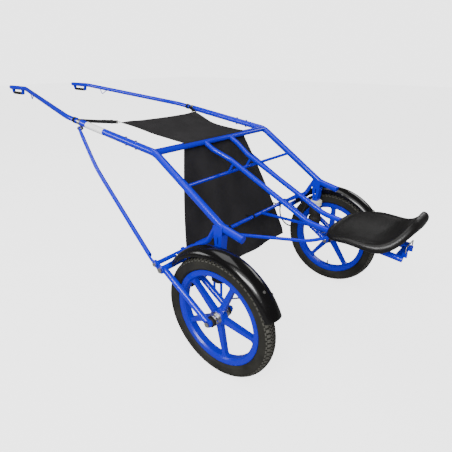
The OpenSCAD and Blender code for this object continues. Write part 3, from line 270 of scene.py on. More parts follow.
weave_group.links.new(spread(weave_group, thread, 0.0, 1.0, 0.55, 1.0), leave.inputs["Shade"])
print("group:", weave_group.name)

# %% [markdown]
# Pebble grain covers the seat's skin and, finer, moulded plastic and rubber: small rounded cells of uneven
# size with thin creases between them.

# %% Pebble grain group
grain_group, entry, leave = new_group(
    "Pebble grain",
    [("Vector", "NodeSocketVector", None), ("Scale", "NodeSocketFloat", 400.0)],
    ["Height", "Tone"],
)
pebbles = put(grain_group, "ShaderNodeTexVoronoi", feature="SMOOTH_F1")
grain_group.links.new(entry.outputs["Vector"], pebbles.inputs["Vector"])
grain_group.links.new(entry.outputs["Scale"], pebbles.inputs["Scale"])
pebbles.inputs["Smoothness"].default_value = 0.5
round_top = spread(grain_group, pebbles.outputs["Distance"], 0.05, 0.7, 1.0, 0.0)
grain_group.links.new(round_top, leave.inputs["Height"])
broad = cloud(grain_group, entry.outputs["Vector"], 11.0, 5.0)
grain_group.links.new(spread(grain_group, broad, 0.3, 0.7), leave.inputs["Tone"])
print("group:", grain_group.name)

# %% [markdown]
# ## Finishes
# Every finish starts from the same short recipe: two tones mixed by a mask, a roughness that follows the
# mask, and a bump from the group's height. What is the same all over, such as the clear coat, is set on the
# shader itself.

# %% Finish recipe


def start_finish(name):
    material = bpy.data.materials.new(name)
    material.use_nodes = True
    tree = material.node_tree
    shader = tree.nodes["Principled BSDF"]
    coord = put(tree, "ShaderNodeTexCoord")
    return material, tree, shader, coord


def place_group(tree, group, vector, **values):
    made = put(tree, "ShaderNodeGroup")
    made.node_tree = group
    tree.links.new(vector, made.inputs["Vector"])
    set_inputs(made, values)
    return made


def two_tones(tree, shader, mask, first, second):
    made = put(tree, "ShaderNodeMix", data_type="RGBA")
    tree.links.new(mask, made.inputs["Factor"])
    for label, tone in (("A", first), ("B", second)):
        if isinstance(tone, tuple):
            made.inputs[label].default_value = (*tone, 1.0)
        else:
            tree.links.new(tone, made.inputs[label])
    tree.links.new(made.outputs["Result"], shader.inputs["Base Color"])
    return made.outputs["Result"]


def rough_by(tree, shader, mask, low, high):
    tree.links.new(spread(tree, mask, 0.0, 1.0, low, high), shader.inputs["Roughness"])


def raise_by(tree, shader, height, distance, strength=1.0):
    bump = put(tree, "ShaderNodeBump")
    set_inputs(bump, {"Strength": strength, "Distance": distance})
    tree.links.new(height, bump.inputs["Height"])
    tree.links.new(bump.outputs["Normal"], shader.inputs["Normal"])


def grouped_finish(name, group, mask, tones, rough, bump, surface, **settings):
    material, tree, shader, coord = start_finish(name)
    made = place_group(tree, group, coord.outputs["Object"], **settings)
    two_tones(tree, shader, made.outputs[mask], *tones)
    rough_by(tree, shader, made.outputs[mask], *rough)
    raise_by(tree, shader, made.outputs["Height"], bump)
    set_inputs(shader, surface)
    return material


COAT_ROUGH = 0.08


def marked_finish(name, first, second, rough, amount, scale, bump, coat=0.0, metallic=0.0, specular=0.5):
    surface = {"Coat Weight": coat, "Coat Roughness": COAT_ROUGH, "Metallic": metallic}
    surface["Specular IOR Level"] = specular
    return grouped_finish(
        name, marks_group, "Mask", (first, second), rough, bump, surface, Scale=scale, Amount=amount)


def grained_finish(name, first, second, rough, scale, bump, specular):
    surface = {"Specular IOR Level": specular}
    return grouped_finish(name, grain_group, "Tone", (first, second), rough, bump, surface, Scale=scale)


# %% [markdown]
# The frame is sprayed a strong blue and lacquered. The cast wheels have the same blue as a powder coat,
# which is a little duller. Zinc plate on bolts, clamps and hubs is a soft grey metal.

# %% Hard finishes
sulky_blue = marked_finish(
    "sulky_blue", (0.0002, 0.0022, 0.5), (0.0006, 0.0035, 0.54), (0.15, 0.28), 0.5, 7.0, 0.00006,
    coat=0.4, specular=0.35)
wheel_blue = marked_finish(
    "wheel_blue", (0.0005, 0.0035, 0.42), (0.003, 0.009, 0.46), (0.22, 0.38), 0.6, 9.0, 0.0001,
    coat=0.2, specular=0.35)
zinc = marked_finish(
    "zinc_plate", (0.78, 0.77, 0.73), (0.5, 0.49, 0.46), (0.24, 0.5), 0.8, 30.0, 0.00008, metallic=1.0)
fender_gloss = marked_finish(
    "fender_black", (0.003, 0.0028, 0.003), (0.008, 0.0075, 0.0075), (0.16, 0.3), 0.5, 6.0, 0.00005,
    coat=0.35, specular=0.4)
cream_ring = marked_finish(
    "cream_moulding", (0.66, 0.65, 0.5), (0.5, 0.48, 0.36), (0.35, 0.55), 0.8, 24.0, 0.00006)
white_wrap = marked_finish(
    "white_wrap", (0.95, 0.95, 0.94), (0.8, 0.8, 0.78), (0.3, 0.5), 0.5, 40.0, 0.00005)
print("hard finishes ready")

# %% [markdown]
# Rubber and moulded plastic are never quite black: dust lightens them in patches, and a fine grain breaks
# up the shine. The seat's skin has a larger pebble and a softer shine.

# %% Soft finishes
tyre_rubber = grained_finish(
    "tyre_rubber", (0.013, 0.0127, 0.011), (0.026, 0.025, 0.021), (0.6, 0.82), 900.0, 0.00015,
    specular=0.16)
tread_rubber = tyre_rubber.copy()
tread_rubber.name = "tread_rubber"
tree = tread_rubber.node_tree
shader = tree.nodes["Principled BSDF"]
# The marked block tops are painted a paler grey in patches: a painted highlight over the darker grooves.
wear_and_highlight = put(tree, "ShaderNodeAttribute", attribute_name="wear_and_highlight")
patchy = cloud(tree, tree.nodes["Texture Coordinate"].outputs["Object"], 90.0, 4.0)
painted_top_highlight = math_node(tree, "MULTIPLY", wear_and_highlight.outputs["Fac"], patchy)
two_tones(tree, shader, painted_top_highlight, shader.inputs["Base Color"].links[0].from_socket, (0.1, 0.097, 0.085))
soft_rubber = grained_finish(
    "soft_rubber", (0.009, 0.0085, 0.008), (0.02, 0.018, 0.016), (0.5, 0.72), 700.0, 0.0001,
    specular=0.25)
shell_plastic = grained_finish(
    "shell_plastic", (0.008, 0.008, 0.0085), (0.016, 0.016, 0.016), (0.4, 0.6), 800.0, 0.00008,
    specular=0.3)
seat_skin = grained_finish(
    "seat_skin", (0.004, 0.0036, 0.0036), (0.008, 0.0074, 0.0072), (0.3, 0.4), 380.0, 0.00022,
    specular=0.5)
print("soft finishes ready")

# %% [markdown]
# The mud screen and the straps are black woven cloth. Each sheet carries a UV map in metres, so the threads
# follow the cloth round its folds.

# %% Cloth finishes


def woven_finish(name, first, second, threads, bump, rough):
    material, tree, shader, coord = start_finish(name)
    weave = place_group(tree, weave_group, coord.outputs["UV"], Threads=threads)
    faded = cloud(tree, coord.outputs["Object"], 7.0, 5.0)
    shade = math_node(tree, "MULTIPLY", weave.outputs["Shade"], spread(tree, faded, 0.3, 0.7, 0.35, 1.0))
    two_tones(tree, shader, shade, first, second)
    rough_by(tree, shader, faded, *rough)
    raise_by(tree, shader, weave.outputs["Height"], bump, 0.6)
    shader.inputs["Specular IOR Level"].default_value = 0.16
    return material


screen_cloth = woven_finish(
    "screen_cloth", (0.01, 0.0095, 0.01), (0.028, 0.0266, 0.028), 620.0, 0.0003, (0.7, 0.86))
webbing = woven_finish(
    "webbing", (0.005, 0.005, 0.005), (0.016, 0.016, 0.016), 500.0, 0.0004, (0.66, 0.8))
print("cloth finishes ready")

# %% [markdown]
# The floor is pale and almost even, with a faint cloudiness so that it isn't one flat colour. It glows a
# little for the camera only, as paper lit from behind does, and throws no extra light on the sulky. Its
# mirror image in the paint is held down, as dark cards beside an object do in a studio.

# %% Floor finish
FLOOR_SEEN = 2.5
floor_paper, tree, shader, coord = start_finish("floor_paper")
clouding = cloud(tree, coord.outputs["Object"], 0.8)
paper = two_tones(tree, shader, clouding, (0.5, 0.5, 0.5), (0.54, 0.54, 0.54))
shader.inputs["Roughness"].default_value = 0.9
seen = put(tree, "ShaderNodeLightPath")
two_tones(tree, shader, seen.outputs["Is Glossy Ray"], paper, (0.13, 0.13, 0.13))
shader.inputs["Emission Color"].default_value = (1.0, 1.0, 1.0, 1.0)
shine = spread(tree, seen.outputs["Is Camera Ray"], 0.0, 1.0, 0.0, FLOOR_SEEN)
tree.links.new(shine, shader.inputs["Emission Strength"])
floor.data.materials.append(floor_paper)

# %% [markdown]
# The room itself is a soft glow that is strongest above the camera's left shoulder and fades out from
# there, so that round glossy pieces show one long highlight without a hard edge. Its mirror image is
# narrower than its glow, as with dark cards beside the lamp. The camera sees the room as one pale tone.

# %% Room light
GLOW_FROM = Vector((-0.3, 0.66, 0.66)).normalized()
GLOW_PEAK = 2.4
GLOW_EDGES = (("From Min", 0.45, 0.84), ("To Min", 0.3, 0.08))
ROOM_SEEN = 3.2
world = bpy.data.worlds.new("studio")
world.use_nodes = True
tree = world.node_tree
looking = put(tree, "ShaderNodeTexCoord")
facing = put(tree, "ShaderNodeVectorMath", operation="DOT_PRODUCT")
tree.links.new(looking.outputs["Generated"], facing.inputs[0])
facing.inputs[1].default_value = GLOW_FROM
glow = put(tree, "ShaderNodeMapRange", interpolation_type="SMOOTHSTEP")
tree.links.new(facing.outputs["Value"], glow.inputs["Value"])
glow.inputs["To Max"].default_value = GLOW_PEAK
seen = put(tree, "ShaderNodeLightPath")
for socket, plain, mirrored in GLOW_EDGES:
    edge = spread(tree, seen.outputs["Is Glossy Ray"], 0.0, 1.0, plain, mirrored)
    tree.links.new(edge, glow.inputs[socket])
strength = put(tree, "ShaderNodeMix")
tree.links.new(seen.outputs["Is Camera Ray"], strength.inputs["Factor"])
tree.links.new(glow.outputs["Result"], strength.inputs["A"])
strength.inputs["B"].default_value = ROOM_SEEN
backdrop = tree.nodes["Background"]
backdrop.inputs["Color"].default_value = (1.0, 1.0, 1.0, 1.0)
tree.links.new(strength.outputs["Result"], backdrop.inputs["Strength"])
bpy.context.scene.world = world

# %% [markdown]
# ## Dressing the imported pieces
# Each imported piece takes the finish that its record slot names, so no shape is touched here.

# %% Give each node its finish
slot_finish = {
    "blue_paint": sulky_blue,
    "rim_paint": wheel_blue,
    "zinc": zinc,
    "rubber": soft_rubber,
    "tyre": tyre_rubber,
    "fender_black": fender_gloss,
    "cloth": screen_cloth,
    "ring_plastic": cream_ring,
    "seat_skin": seat_skin,
    "shell_plastic": shell_plastic,
}
slot_of_node = {row["node"]: row["material_slot"] for row in frame["record"]["subparts"]}
for name, node in frame["nodes"].items():
    node.data.materials.clear()
    node.data.materials.append(slot_finish[slot_of_node[name]])
print("dressed:", len(slot_of_node))

# %% [markdown]
# ## Modelling helpers
# A helper draws a line of points as by hand: one vertex, then one extrude for each further point. Lines
# become turned shapes with spin, and straps with one more extrude sideways.

# %% Modelling helpers


def enter(mode):
    bpy.ops.object.mode_set(mode=mode)


def just_made(name):
    piece = bpy.context.active_object
    piece.name = name
    return piece


def clear_selection():
    if bpy.context.mode != "OBJECT":
        enter("OBJECT")
    bpy.ops.object.select_all(action="DESELECT")


def draw_line(name, points):
    clear_selection()
    bpy.ops.mesh.primitive_plane_add(size=0.01, location=(0.0, 0.0, 0.0))
    piece = just_made(name)
    enter("EDIT")
    bpy.ops.mesh.merge(type="CENTER")
    bpy.ops.transform.translate(value=points[0])
    for before, after in zip(points, points[1:]):
        bpy.ops.mesh.extrude_vertices_move(TRANSFORM_OT_translate={"value": after - before})
    return piece


def running_lengths(points):
    sums = [0.0]
    for before, after in zip(points, points[1:]):
        sums.append(sums[-1] + (after - before).length)
    return sums


def tidy_mesh(piece, distance=0.00002):
    bpy.ops.mesh.select_all(action="SELECT")
    bpy.ops.mesh.remove_doubles(threshold=distance)
    bpy.ops.mesh.normals_make_consistent(inside=False)
    enter("OBJECT")


def spin_line(piece, steps, angle, axis):
    bpy.ops.mesh.select_all(action="SELECT")
    bpy.ops.mesh.spin(steps=steps, angle=angle, center=(0.0, 0.0, 0.0), axis=axis)
    tidy_mesh(piece)


def choose_faces(piece, wanted):
    mesh = bmesh.from_edit_mesh(piece.data)
    bpy.ops.mesh.select_all(action="DESELECT")
    count = 0
    for face in mesh.faces:
        picked = wanted(face.calc_center_median(), face.normal)
        face.select_set(picked)
        count += picked
    mesh.select_flush(True)
    bmesh.update_edit_mesh(piece.data)
    return count


def inset_faces(piece, wanted, edge, depth):
    enter("EDIT")
    bpy.ops.mesh.select_mode(type="FACE")
    choose_faces(piece, wanted)
    bpy.ops.mesh.inset(thickness=edge, depth=depth)
    bpy.ops.mesh.select_mode(type="VERT")
    enter("OBJECT")


def apply_modifier(piece, name, kind, **settings):
    modifier = piece.modifiers.new(name, kind)
    for key, value in settings.items():
        setattr(modifier, key, value)
    bpy.context.view_layer.objects.active = piece
    bpy.ops.object.modifier_apply(modifier=name)


def finish_piece(piece, material, angle=35.0):
    clear_selection()
    piece.select_set(True)
    bpy.context.view_layer.objects.active = piece
    bpy.ops.object.transform_apply(location=True, rotation=True, scale=True)
    bpy.ops.object.shade_smooth_by_angle(angle=math.radians(angle))
    piece.data.materials.clear()
    piece.data.materials.append(material)
    return piece


def copy_piece(piece, name, matrix):
    made = bpy.data.objects.new(name, piece.data.copy())
    bpy.context.scene.collection.objects.link(made)
    made.data.transform(matrix)
    if matrix.determinant() < 0:
        made.data.flip_normals()
    return made


print("helpers ready")

# %% [markdown]
# ## Air hoses
# A ribbed hose brings air from a fitting under the beam to each spring's top ring. It hangs in one loose
# loop. The route repeats the drawing's points, and a smooth curve goes through them; rings along the curve
# swell and shrink for the ribs.

# %% Hose route
HOSE_POINTS = [
    (291, 390, 440), (290, 389, 415), (276, 385, 380), (240, 374, 356), (198, 366, 352),
    (160, 365, 378), (138, 372, 425), (124, 382, 468), (116, 388, 494), (112, 391, 515),
]
HOSE_RADIUS = 0.0045
HOSE_RINGS = 193
RIB_PITCH = 0.008
RIB_DEEP = 0.0010
PLAIN_END = 0.008


def spline_at(points, i, t):
    a = points[max(0, i - 1)]
    b = points[i]
    c = points[i + 1]
    d = points[min(len(points) - 1, i + 2)]
    square = 2 * a - 5 * b + 4 * c - d
    cube = 3 * b - a - 3 * c + d
    return 0.5 * (2 * b + (c - a) * t + square * t * t + cube * t ** 3)


def smooth_route(points, steps):
    route = []
    for i in range(len(points) - 1):
        for k in range(steps):
            route.append(spline_at(points, i, k / steps))
    route.append(points[-1])
    return route


def even_route(route, count):
    sums = running_lengths(route)
    places = []
    for k in range(count):
        want = sums[-1] * k / (count - 1)
        i = 0
        while i < len(sums) - 2 and sums[i + 1] < want:
            i += 1
        places.append(route[i].lerp(route[i + 1], (want - sums[i]) / (sums[i + 1] - sums[i])))
    return places, sums[-1]


left_route = smooth_route([at(*p) for p in HOSE_POINTS], 10)
hose_places, hose_length = even_route(left_route, HOSE_RINGS)
print("hose length:", round(hose_length, 4))

# %% Hose mesh


def ribbed_hose(name, places, length, sides=12):
    clear_selection()
    count = len(places)
    bpy.ops.mesh.primitive_grid_add(x_subdivisions=sides, y_subdivisions=count - 1, size=1.0)
    piece = just_made(name)
    columns = sides + 1
    for index, vertex in enumerate(piece.data.vertices):
        column = index % columns
        row = index // columns
        ahead_dir = (places[min(count - 1, row + 1)] - places[max(0, row - 1)]).normalized()
        side_x = ahead_dir.cross(LEFT).normalized()
        side_y = ahead_dir.cross(side_x)
        along = length * row / (count - 1)
        ends = min(along, length - along) < PLAIN_END
        swell = 0.0 if ends else 0.5 - 0.5 * math.cos(FULL_TURN * along / RIB_PITCH)
        radius = HOSE_RADIUS - RIB_DEEP + RIB_DEEP * swell
        angle = FULL_TURN * column / sides
        vertex.co = places[row] + (side_x * math.cos(angle) + side_y * math.sin(angle)) * radius
    enter("EDIT")
    tidy_mesh(piece, 0.00001)
    return finish_piece(piece, soft_rubber, 60.0)


for label, side in SIDES:
    places = [Vector((p.x, side * p.y, p.z)) for p in hose_places]
    hose = ribbed_hose(label + "_air_hose", places, hose_length)
    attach(hose, "frame")
    if side > 0:
        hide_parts("air_hoses")
    print(label, "hose:", len(hose.data.polygons), "faces")

# %% [markdown]
# ## Tyres
# A tyre is a turned shape, so its section is drawn once and spun round the axle. Its tread is then raised
# from the spun faces: two rows of shoulder blocks on each side, and smaller knobs along the middle, each
# row set half a step from its neighbour. Lower faces between them are the grooves. The blocks' tops are
# marked and painted a paler grey in patches. This is a painted highlight that makes them stand out
# against the darker grooves.

# %% Tyre body
TYRE_STEPS = 480
HALF_SECTION = [
    (208.5, 16.5), (221.5, 20.0), (227.0, 28.0), (236.0, 30.4), (247.5, 31.0), (256.0, 30.6), (262.0, 29.6),
    (266.5, 26.8), (271.0, 20.6), (273.4, 15.6), (275.4, 9.0), (276.2, 2.4),
]
INNER_SECTION = [(266.0, 0.0), (258.0, 18.0), (240.0, 25.0), (222.0, 15.0)]

section = list(HALF_SECTION)
section += [(r, -y) for r, y in reversed(HALF_SECTION)]
section += [(r, -y) for r, y in reversed(INNER_SECTION)]
section += INNER_SECTION[1:]
section.append(section[0])
tyre = draw_line("tyre_model", [Vector((r / 1000.0, y / 1000.0, 0.0)) for r, y in section])
spin_line(tyre, TYRE_STEPS, FULL_TURN, LEFT)
print("tyre body:", len(tyre.data.polygons), "faces")

# %% Tyre blocks
# A row's place is its radius, from and to, and its distance from the middle, from and to. Then come its
# shift on the left and the right side and its pitch, both in steps of the spin, and its rise.
TREAD_ROWS = (
    (0.2605, 0.2665, 0.026, 0.0303, (3, 0), 6, 0.004),
    (0.2665, 0.2732, 0.0165, 0.026, (0, 3), 6, 0.0042),
    (0.2735, 0.29, 0.0095, 0.015, (1, 2), 4, 0.004),
    (0.2745, 0.29, 0.003, 0.009, (3, 0), 4, 0.0037),
)


def around(place):
    return (math.degrees(math.atan2(place.z, place.x)) % 360.0) / 360.0 * TYRE_STEPS


def from_axle(place):
    return math.hypot(place.x, place.z)


def row_chooser(near, far, inner, outer, shifts, pitch):
    def wanted(place, normal):
        step = int(around(place)) + shifts[0 if place.y > 0 else 1]
        return near < from_axle(place) < far and inner < abs(place.y) < outer and step % pitch > 1

    return wanted


def raise_blocks(piece, wanted, rise):
    enter("EDIT")
    bpy.ops.mesh.select_mode(type="FACE")
    count = choose_faces(piece, wanted)
    bpy.ops.mesh.extrude_region_shrink_fatten(TRANSFORM_OT_shrink_fatten={"value": rise})
    enter("OBJECT")
    # Mark the raised tops, which the tread finish paints paler as a painted highlight.
    wear_and_highlight = piece.data.attributes["wear_and_highlight"].data
    for face in piece.data.polygons:
        if face.select:
            wear_and_highlight[face.index].value = 1.0
    return count


tyre.data.attributes.new("wear_and_highlight", "FLOAT", "FACE")
for *row, rise in TREAD_ROWS:
    print("a row of blocks from", raise_blocks(tyre, row_chooser(*row), rise), "faces")
print("outer radius:", round(max(from_axle(v.co) for v in tyre.data.vertices), 4))

# %% [markdown]
# A thin raised ring on each sidewall shows where the rim's edge sits. It is inset and raised from a whole
# ring of faces.

# %% Sidewall rings
WALL_RING = (0.2275, 0.236)
WALL_OUT = 0.0275
WALL_EDGE = 0.0022
WALL_RISE = 0.0012


def in_wall_ring(place, normal):
    return WALL_RING[0] < from_axle(place) < WALL_RING[1] and abs(place.y) > WALL_OUT


inset_faces(tyre, in_wall_ring, WALL_EDGE, WALL_RISE)
finish_piece(tyre, tread_rubber, 28.0)
print("tyre:", len(tyre.data.polygons), "faces")

# %% [markdown]
# The valve stem is a small turned rubber stem with a cap. It is drawn as a line and spun, like the tyre,
# and it stands where the drawing has it: on top of the left wheel and at the bottom of the right one.

# %% Valve stem
valve_section = [
    (0.0, 0.166), (0.0034, 0.166), (0.004, 0.1672), (0.004, 0.1745), (0.0034, 0.1752), (0.0034, 0.177),
    (0.004, 0.1785), (0.004, 0.1995), (0.0078, 0.2), (0.008, 0.2035), (0.0, 0.204),
]
valve = draw_line("valve_model", [Vector((r, 0.0, z)) for r, z in valve_section])
spin_line(valve, 20, FULL_TURN, UP)
finish_piece(valve, soft_rubber, 30.0)

VALVE_LEAN = {"left": 11.3, "right": 180.0}
for label, side in SIDES:
    place = Matrix.Translation(wheel_middle(side))
    leaning = Matrix.Rotation(math.radians(VALVE_LEAN[label]), 4, "Y")
    dressed = copy_piece(tyre, label + "_tyre_tread", place)
    stem = copy_piece(valve, label + "_valve_stem", place @ leaning)
    for piece in (dressed, stem):
        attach(piece, label + "_wheel")
    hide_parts(label + "_tyre")
    print(label, "tyre stands on", round(min(v.co.z for v in dressed.data.vertices), 4))
for model in (tyre, valve):
    bpy.data.objects.remove(model)

# %% [markdown]
# ## Fenders
# A fender is a channel of glossy black sheet that follows the tyre. Its long highlight shows every flat in
# a coarse section, so the drawing's half oval is drawn again with many points and spun from the front end
# to the rear end. Solidify gives it the wall, inwards, and a fine bevel breaks its edges.

# %% Fender channel
FENDER_CROWN = 0.322
FENDER_DEEP = 0.034
FENDER_HALF = 0.046
FENDER_FRONT = math.radians(38.0)
FENDER_REAR = math.radians(157.0)
FENDER_WALL = 0.002
FENDER_STEPS = 90
fender_line = []
for k in range(37):
    a = math.radians(-90.0 + 5.0 * k)
    r = FENDER_CROWN - FENDER_DEEP + FENDER_DEEP * math.cos(a)
    y = FENDER_HALF * math.sin(a)
    fender_line.append(Vector((r * math.cos(FENDER_FRONT), y, r * math.sin(FENDER_FRONT))))
fender = draw_line("fender_model", fender_line)
spin_line(fender, FENDER_STEPS, FENDER_REAR - FENDER_FRONT, LEFT)
crown_face = max(fender.data.polygons, key=lambda face: face.center.z)
if crown_face.normal.z < 0:
    fender.data.flip_normals()
apply_modifier(fender, "wall", "SOLIDIFY", thickness=FENDER_WALL, offset=-1.0)
apply_modifier(fender, "edge", "BEVEL", width=0.0006, segments=2, limit_method="ANGLE",
               angle_limit=math.radians(60.0))
finish_piece(fender, fender_gloss, 50.0)
for label, side in SIDES:
    channel = copy_piece(fender, label + "_fender_channel", Matrix.Translation(wheel_middle(side)))
    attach(channel, label + "_fork")
    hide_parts(label + "_fender")
    print(label, "fender's top:", round(max(v.co.z for v in channel.data.vertices), 4))
bpy.data.objects.remove(fender)

# %% [markdown]
# ## Stays
# The long stay on each side runs out from its clamp and then turns back to the beam's end in one easy bend.
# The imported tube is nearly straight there, so a copy of it is cut into short lengths, bowed outwards at the
# bend and given the stay's full thickness between its two flat eyes.

# %% Bent stays
STAY_TOP = at(1062.0, 440.0, 945.5)
STAY_BEND = at(800.0, 510.0, 790.0)
STAY_END = at(BEAM[0], 612.8, BEAM[1])
STAY_RUN = STAY_TOP.x - STAY_END.x
STAY_BOW = Vector((0.0, 0.018, 0.002))
STAY_SWELL = 0.25
STAY_CUTS = 25
BEND_SHARE = (STAY_TOP.x - STAY_BEND.x) / STAY_RUN
BEND_ROUND = 0.12
EYE_SHARE = 0.02
EYE_FADE = 0.03


def stay_line(share):
    if share < BEND_SHARE:
        return mix(STAY_TOP, STAY_BEND, share / BEND_SHARE)
    return mix(STAY_BEND, STAY_END, (share - BEND_SHARE) / (1.0 - BEND_SHARE))


def stay_bow(share):
    rise = 1.0 / BEND_SHARE
    fall = 1.0 / (1.0 - BEND_SHARE)
    past = share - BEND_SHARE + BEND_ROUND
    if past < 0.0:
        return max(0.0, share * rise)
    if past > 2.0 * BEND_ROUND:
        return max(0.0, (1.0 - share) * fall)
    start = (BEND_SHARE - BEND_ROUND) * rise
    return start + past * rise - past * past * (rise + fall) / (4.0 * BEND_ROUND)


for label, side in SIDES:
    stay = copy_piece(frame["nodes"][label + "_stay"], label + "_bent_stay", Matrix.Identity(4))
    clear_selection()
    bpy.context.view_layer.objects.active = stay
    enter("EDIT")
    for k in range(1, STAY_CUTS):
        cut_x = STAY_TOP.x - STAY_RUN * k / STAY_CUTS
        bpy.ops.mesh.select_all(action="SELECT")
        bpy.ops.mesh.bisect(plane_co=(cut_x, 0.0, 0.0), plane_no=(1.0, 0.0, 0.0))
    enter("OBJECT")
    for vertex in stay.data.vertices:
        share = (STAY_TOP.x - vertex.co.x) / STAY_RUN
        middle = stay_line(share)
        from_eye = min(share, 1.0 - share)
        swell = 1.0 + STAY_SWELL * min(1.0, max(0.0, (from_eye - EYE_SHARE) / EYE_FADE))
        bow = STAY_BOW * stay_bow(share)
        vertex.co.y = side * (middle.y + (side * vertex.co.y - middle.y) * swell + bow.y)
        vertex.co.z = middle.z + (vertex.co.z - middle.z) * swell + bow.z
    finish_piece(stay, sulky_blue, 40.0)
    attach(stay, "frame")
    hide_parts(label + "_stay")
    print(label, "stay reaches out to", round(max(abs(v.co.y) for v in stay.data.vertices), 4))

# %% [markdown]
# ## Air spring sleeves
# The black rubber sleeve of an air spring rolls over itself at the foot and is gripped by the cream ring at
# the top. It is a spun line with a bulge below and a longer, straighter part above.

# %% Sleeve section
SPRING_X = 72
SPRING_Y = 430
SPRING_FOOT = 390.4
SLEEVE_STEPS = 64
sleeve_line = [(0.0, 0.0), (22.0, 0.0), (27.5, 0.6)]
for k in range(15):
    a = math.radians(-75 + 10 * k)
    sleeve_line.append((27.0 + 10.0 * math.cos(a), 21.5 + 20.0 * math.sin(a)))
sleeve_line += [(32.2, 42.6), (31.4, 45.4), (32.4, 49.0)]
for k in range(13):
    a = math.radians(-52 + 10.6 * k)
    sleeve_line.append((27.4 + 8.4 * math.cos(a), 74.0 + 31.0 * math.sin(a)))
sleeve_line += [(29.2, 106.6), (28.8, 109.6), (0.0, 109.6)]
for label, side in SIDES:
    line = [Vector((r / 1000.0, 0.0, z / 1000.0)) for r, z in sleeve_line]
    sleeve = draw_line(label + "_spring_sleeve", line)
    spin_line(sleeve, SLEEVE_STEPS, FULL_TURN, UP)
    sleeve.location = at(SPRING_X, side * SPRING_Y, SPRING_FOOT)
    finish_piece(sleeve, soft_rubber, 40.0)
    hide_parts(label + "_bellows")
    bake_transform(sleeve)
    print(label, "sleeve:", len(sleeve.data.polygons), "faces")

# %% [markdown]
# ## Seat
# The seat is a moulded foam dish with a grained black skin. It has a thick rolled edge, a high curled back
# and a nose that arches down over the rails. A sphere has just the right rings for it: its upper rings
# become the dish, the rings about its middle the rolled edge, and its lower rings the underside.

# %% Seat shape
SEAT_X = -431.0
SEAT_LONG = 174.0
SEAT_WIDE = 196.0
SEAT_Z = 632.0
DISH_DEEP = 9.0
BACK_RISE = 123.0
BACK_FROM = 0.5
BACK_RUN = 0.44
BACK_CURL = 3.2
BACK_NARROW = 0.25
SIDE_RISE = 24.0
SIDE_CURL = 2.4
NOSE_FALL = 18.0
NOSE_RUN = 0.35
CREASE_DEEP = 2.2
CREASE_AT = 0.93
CREASE_WIDE = 0.04
CORNER_POWER = 3.2
PAD_THICK = 14.0
ROLL_FRONT = 9.0
ROLL_SIDE = 2.0
ROLL_BACK = 20.0


def seat_height(x, y):
    u = (SEAT_X + SEAT_LONG - x) / (2 * SEAT_LONG)
    v = abs(y) / SEAT_WIDE
    back = max(0.0, (u - BACK_FROM) / BACK_RUN)
    height = SEAT_Z - DISH_DEEP * math.sin(math.pi * min(1.0, max(0.0, u) / 0.9))
    height += BACK_RISE * back ** BACK_CURL
    height += SIDE_RISE * v ** SIDE_CURL * math.sin(math.pi * min(1.0, max(0.0, u) / 0.95))
    return height - NOSE_FALL * v ** 3 * max(0.0, 1.0 - u / NOSE_RUN)


def seat_reach(a):
    c = math.cos(a)
    s = math.sin(a)
    narrow = 1.0 - BACK_NARROW * c * c if c < 0 else 1.0
    power = CORNER_POWER + max(0.0, c)
    return ((abs(c) / SEAT_LONG) ** power + (abs(s) / (SEAT_WIDE * narrow)) ** power) ** (-1 / power)


def seat_roll(a):
    return ROLL_FRONT + ROLL_SIDE * math.sin(a) ** 2 + ROLL_BACK * ((1.0 - math.cos(a)) / 2.0) ** 2


def seat_place(a, part):
    roll = seat_roll(a)
    reach = seat_reach(a) - roll
    if part <= 1.0:
        r = reach * part
        drop = CREASE_DEEP * math.exp(-((part - CREASE_AT) / CREASE_WIDE) ** 2)
        turn_angle = None
    elif part <= 2.0:
        turn_angle = math.radians(mix(88.0, -88.0, part - 1.0))
        r = reach
        drop = roll
    else:
        r = reach * (3.0 - part)
        drop = PAD_THICK + (roll * 2 - PAD_THICK) * max(0.0, 1.0 - (part - 2.0) / 0.12) ** 2
        turn_angle = None
    x = SEAT_X + r * math.cos(a)
    y = r * math.sin(a)
    z = seat_height(x, y) - drop
    if turn_angle is not None:
        out = roll * math.cos(turn_angle)
        x += out * math.cos(a)
        y += out * math.sin(a)
        z += roll * math.sin(turn_angle)
    return at(x, y, z)


DISH_RINGS = 24
ROLL_RINGS = 18
UNDER_RINGS = 18
RINGS = DISH_RINGS + ROLL_RINGS + UNDER_RINGS
clear_selection()
bpy.ops.mesh.primitive_uv_sphere_add(segments=120, ring_count=RINGS, radius=1.0)
seat = just_made("seat_cushion")
for vertex in seat.data.vertices:
    ring = round(math.acos(max(-1.0, min(1.0, vertex.co.z))) / math.pi * RINGS)
    a = math.atan2(vertex.co.y, vertex.co.x)
    if ring <= DISH_RINGS:
        part = ring / DISH_RINGS
    elif ring <= DISH_RINGS + ROLL_RINGS:
        part = 1.0 + (ring - DISH_RINGS) / ROLL_RINGS
    else:
        part = 2.0 + (ring - DISH_RINGS - ROLL_RINGS) / UNDER_RINGS
    vertex.co = seat_place(a, part)
apply_modifier(seat, "ease", "SMOOTH", factor=0.5, iterations=2)
finish_piece(seat, seat_skin, 60.0)
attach(seat, "frame")
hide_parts("seat_pad")
print("seat:", len(seat.data.polygons), "faces")

# %% [markdown]
# ## Mud screen
# The screen keeps what the hooves throw up off the driver. Its apron is stretched forward from the rod
# towards the shafts, then the cloth turns over the rod and hangs down past the beam. A grid takes the
# drawing's line, and small folds, pulls at the corners and a hem are added where real cloth has them.

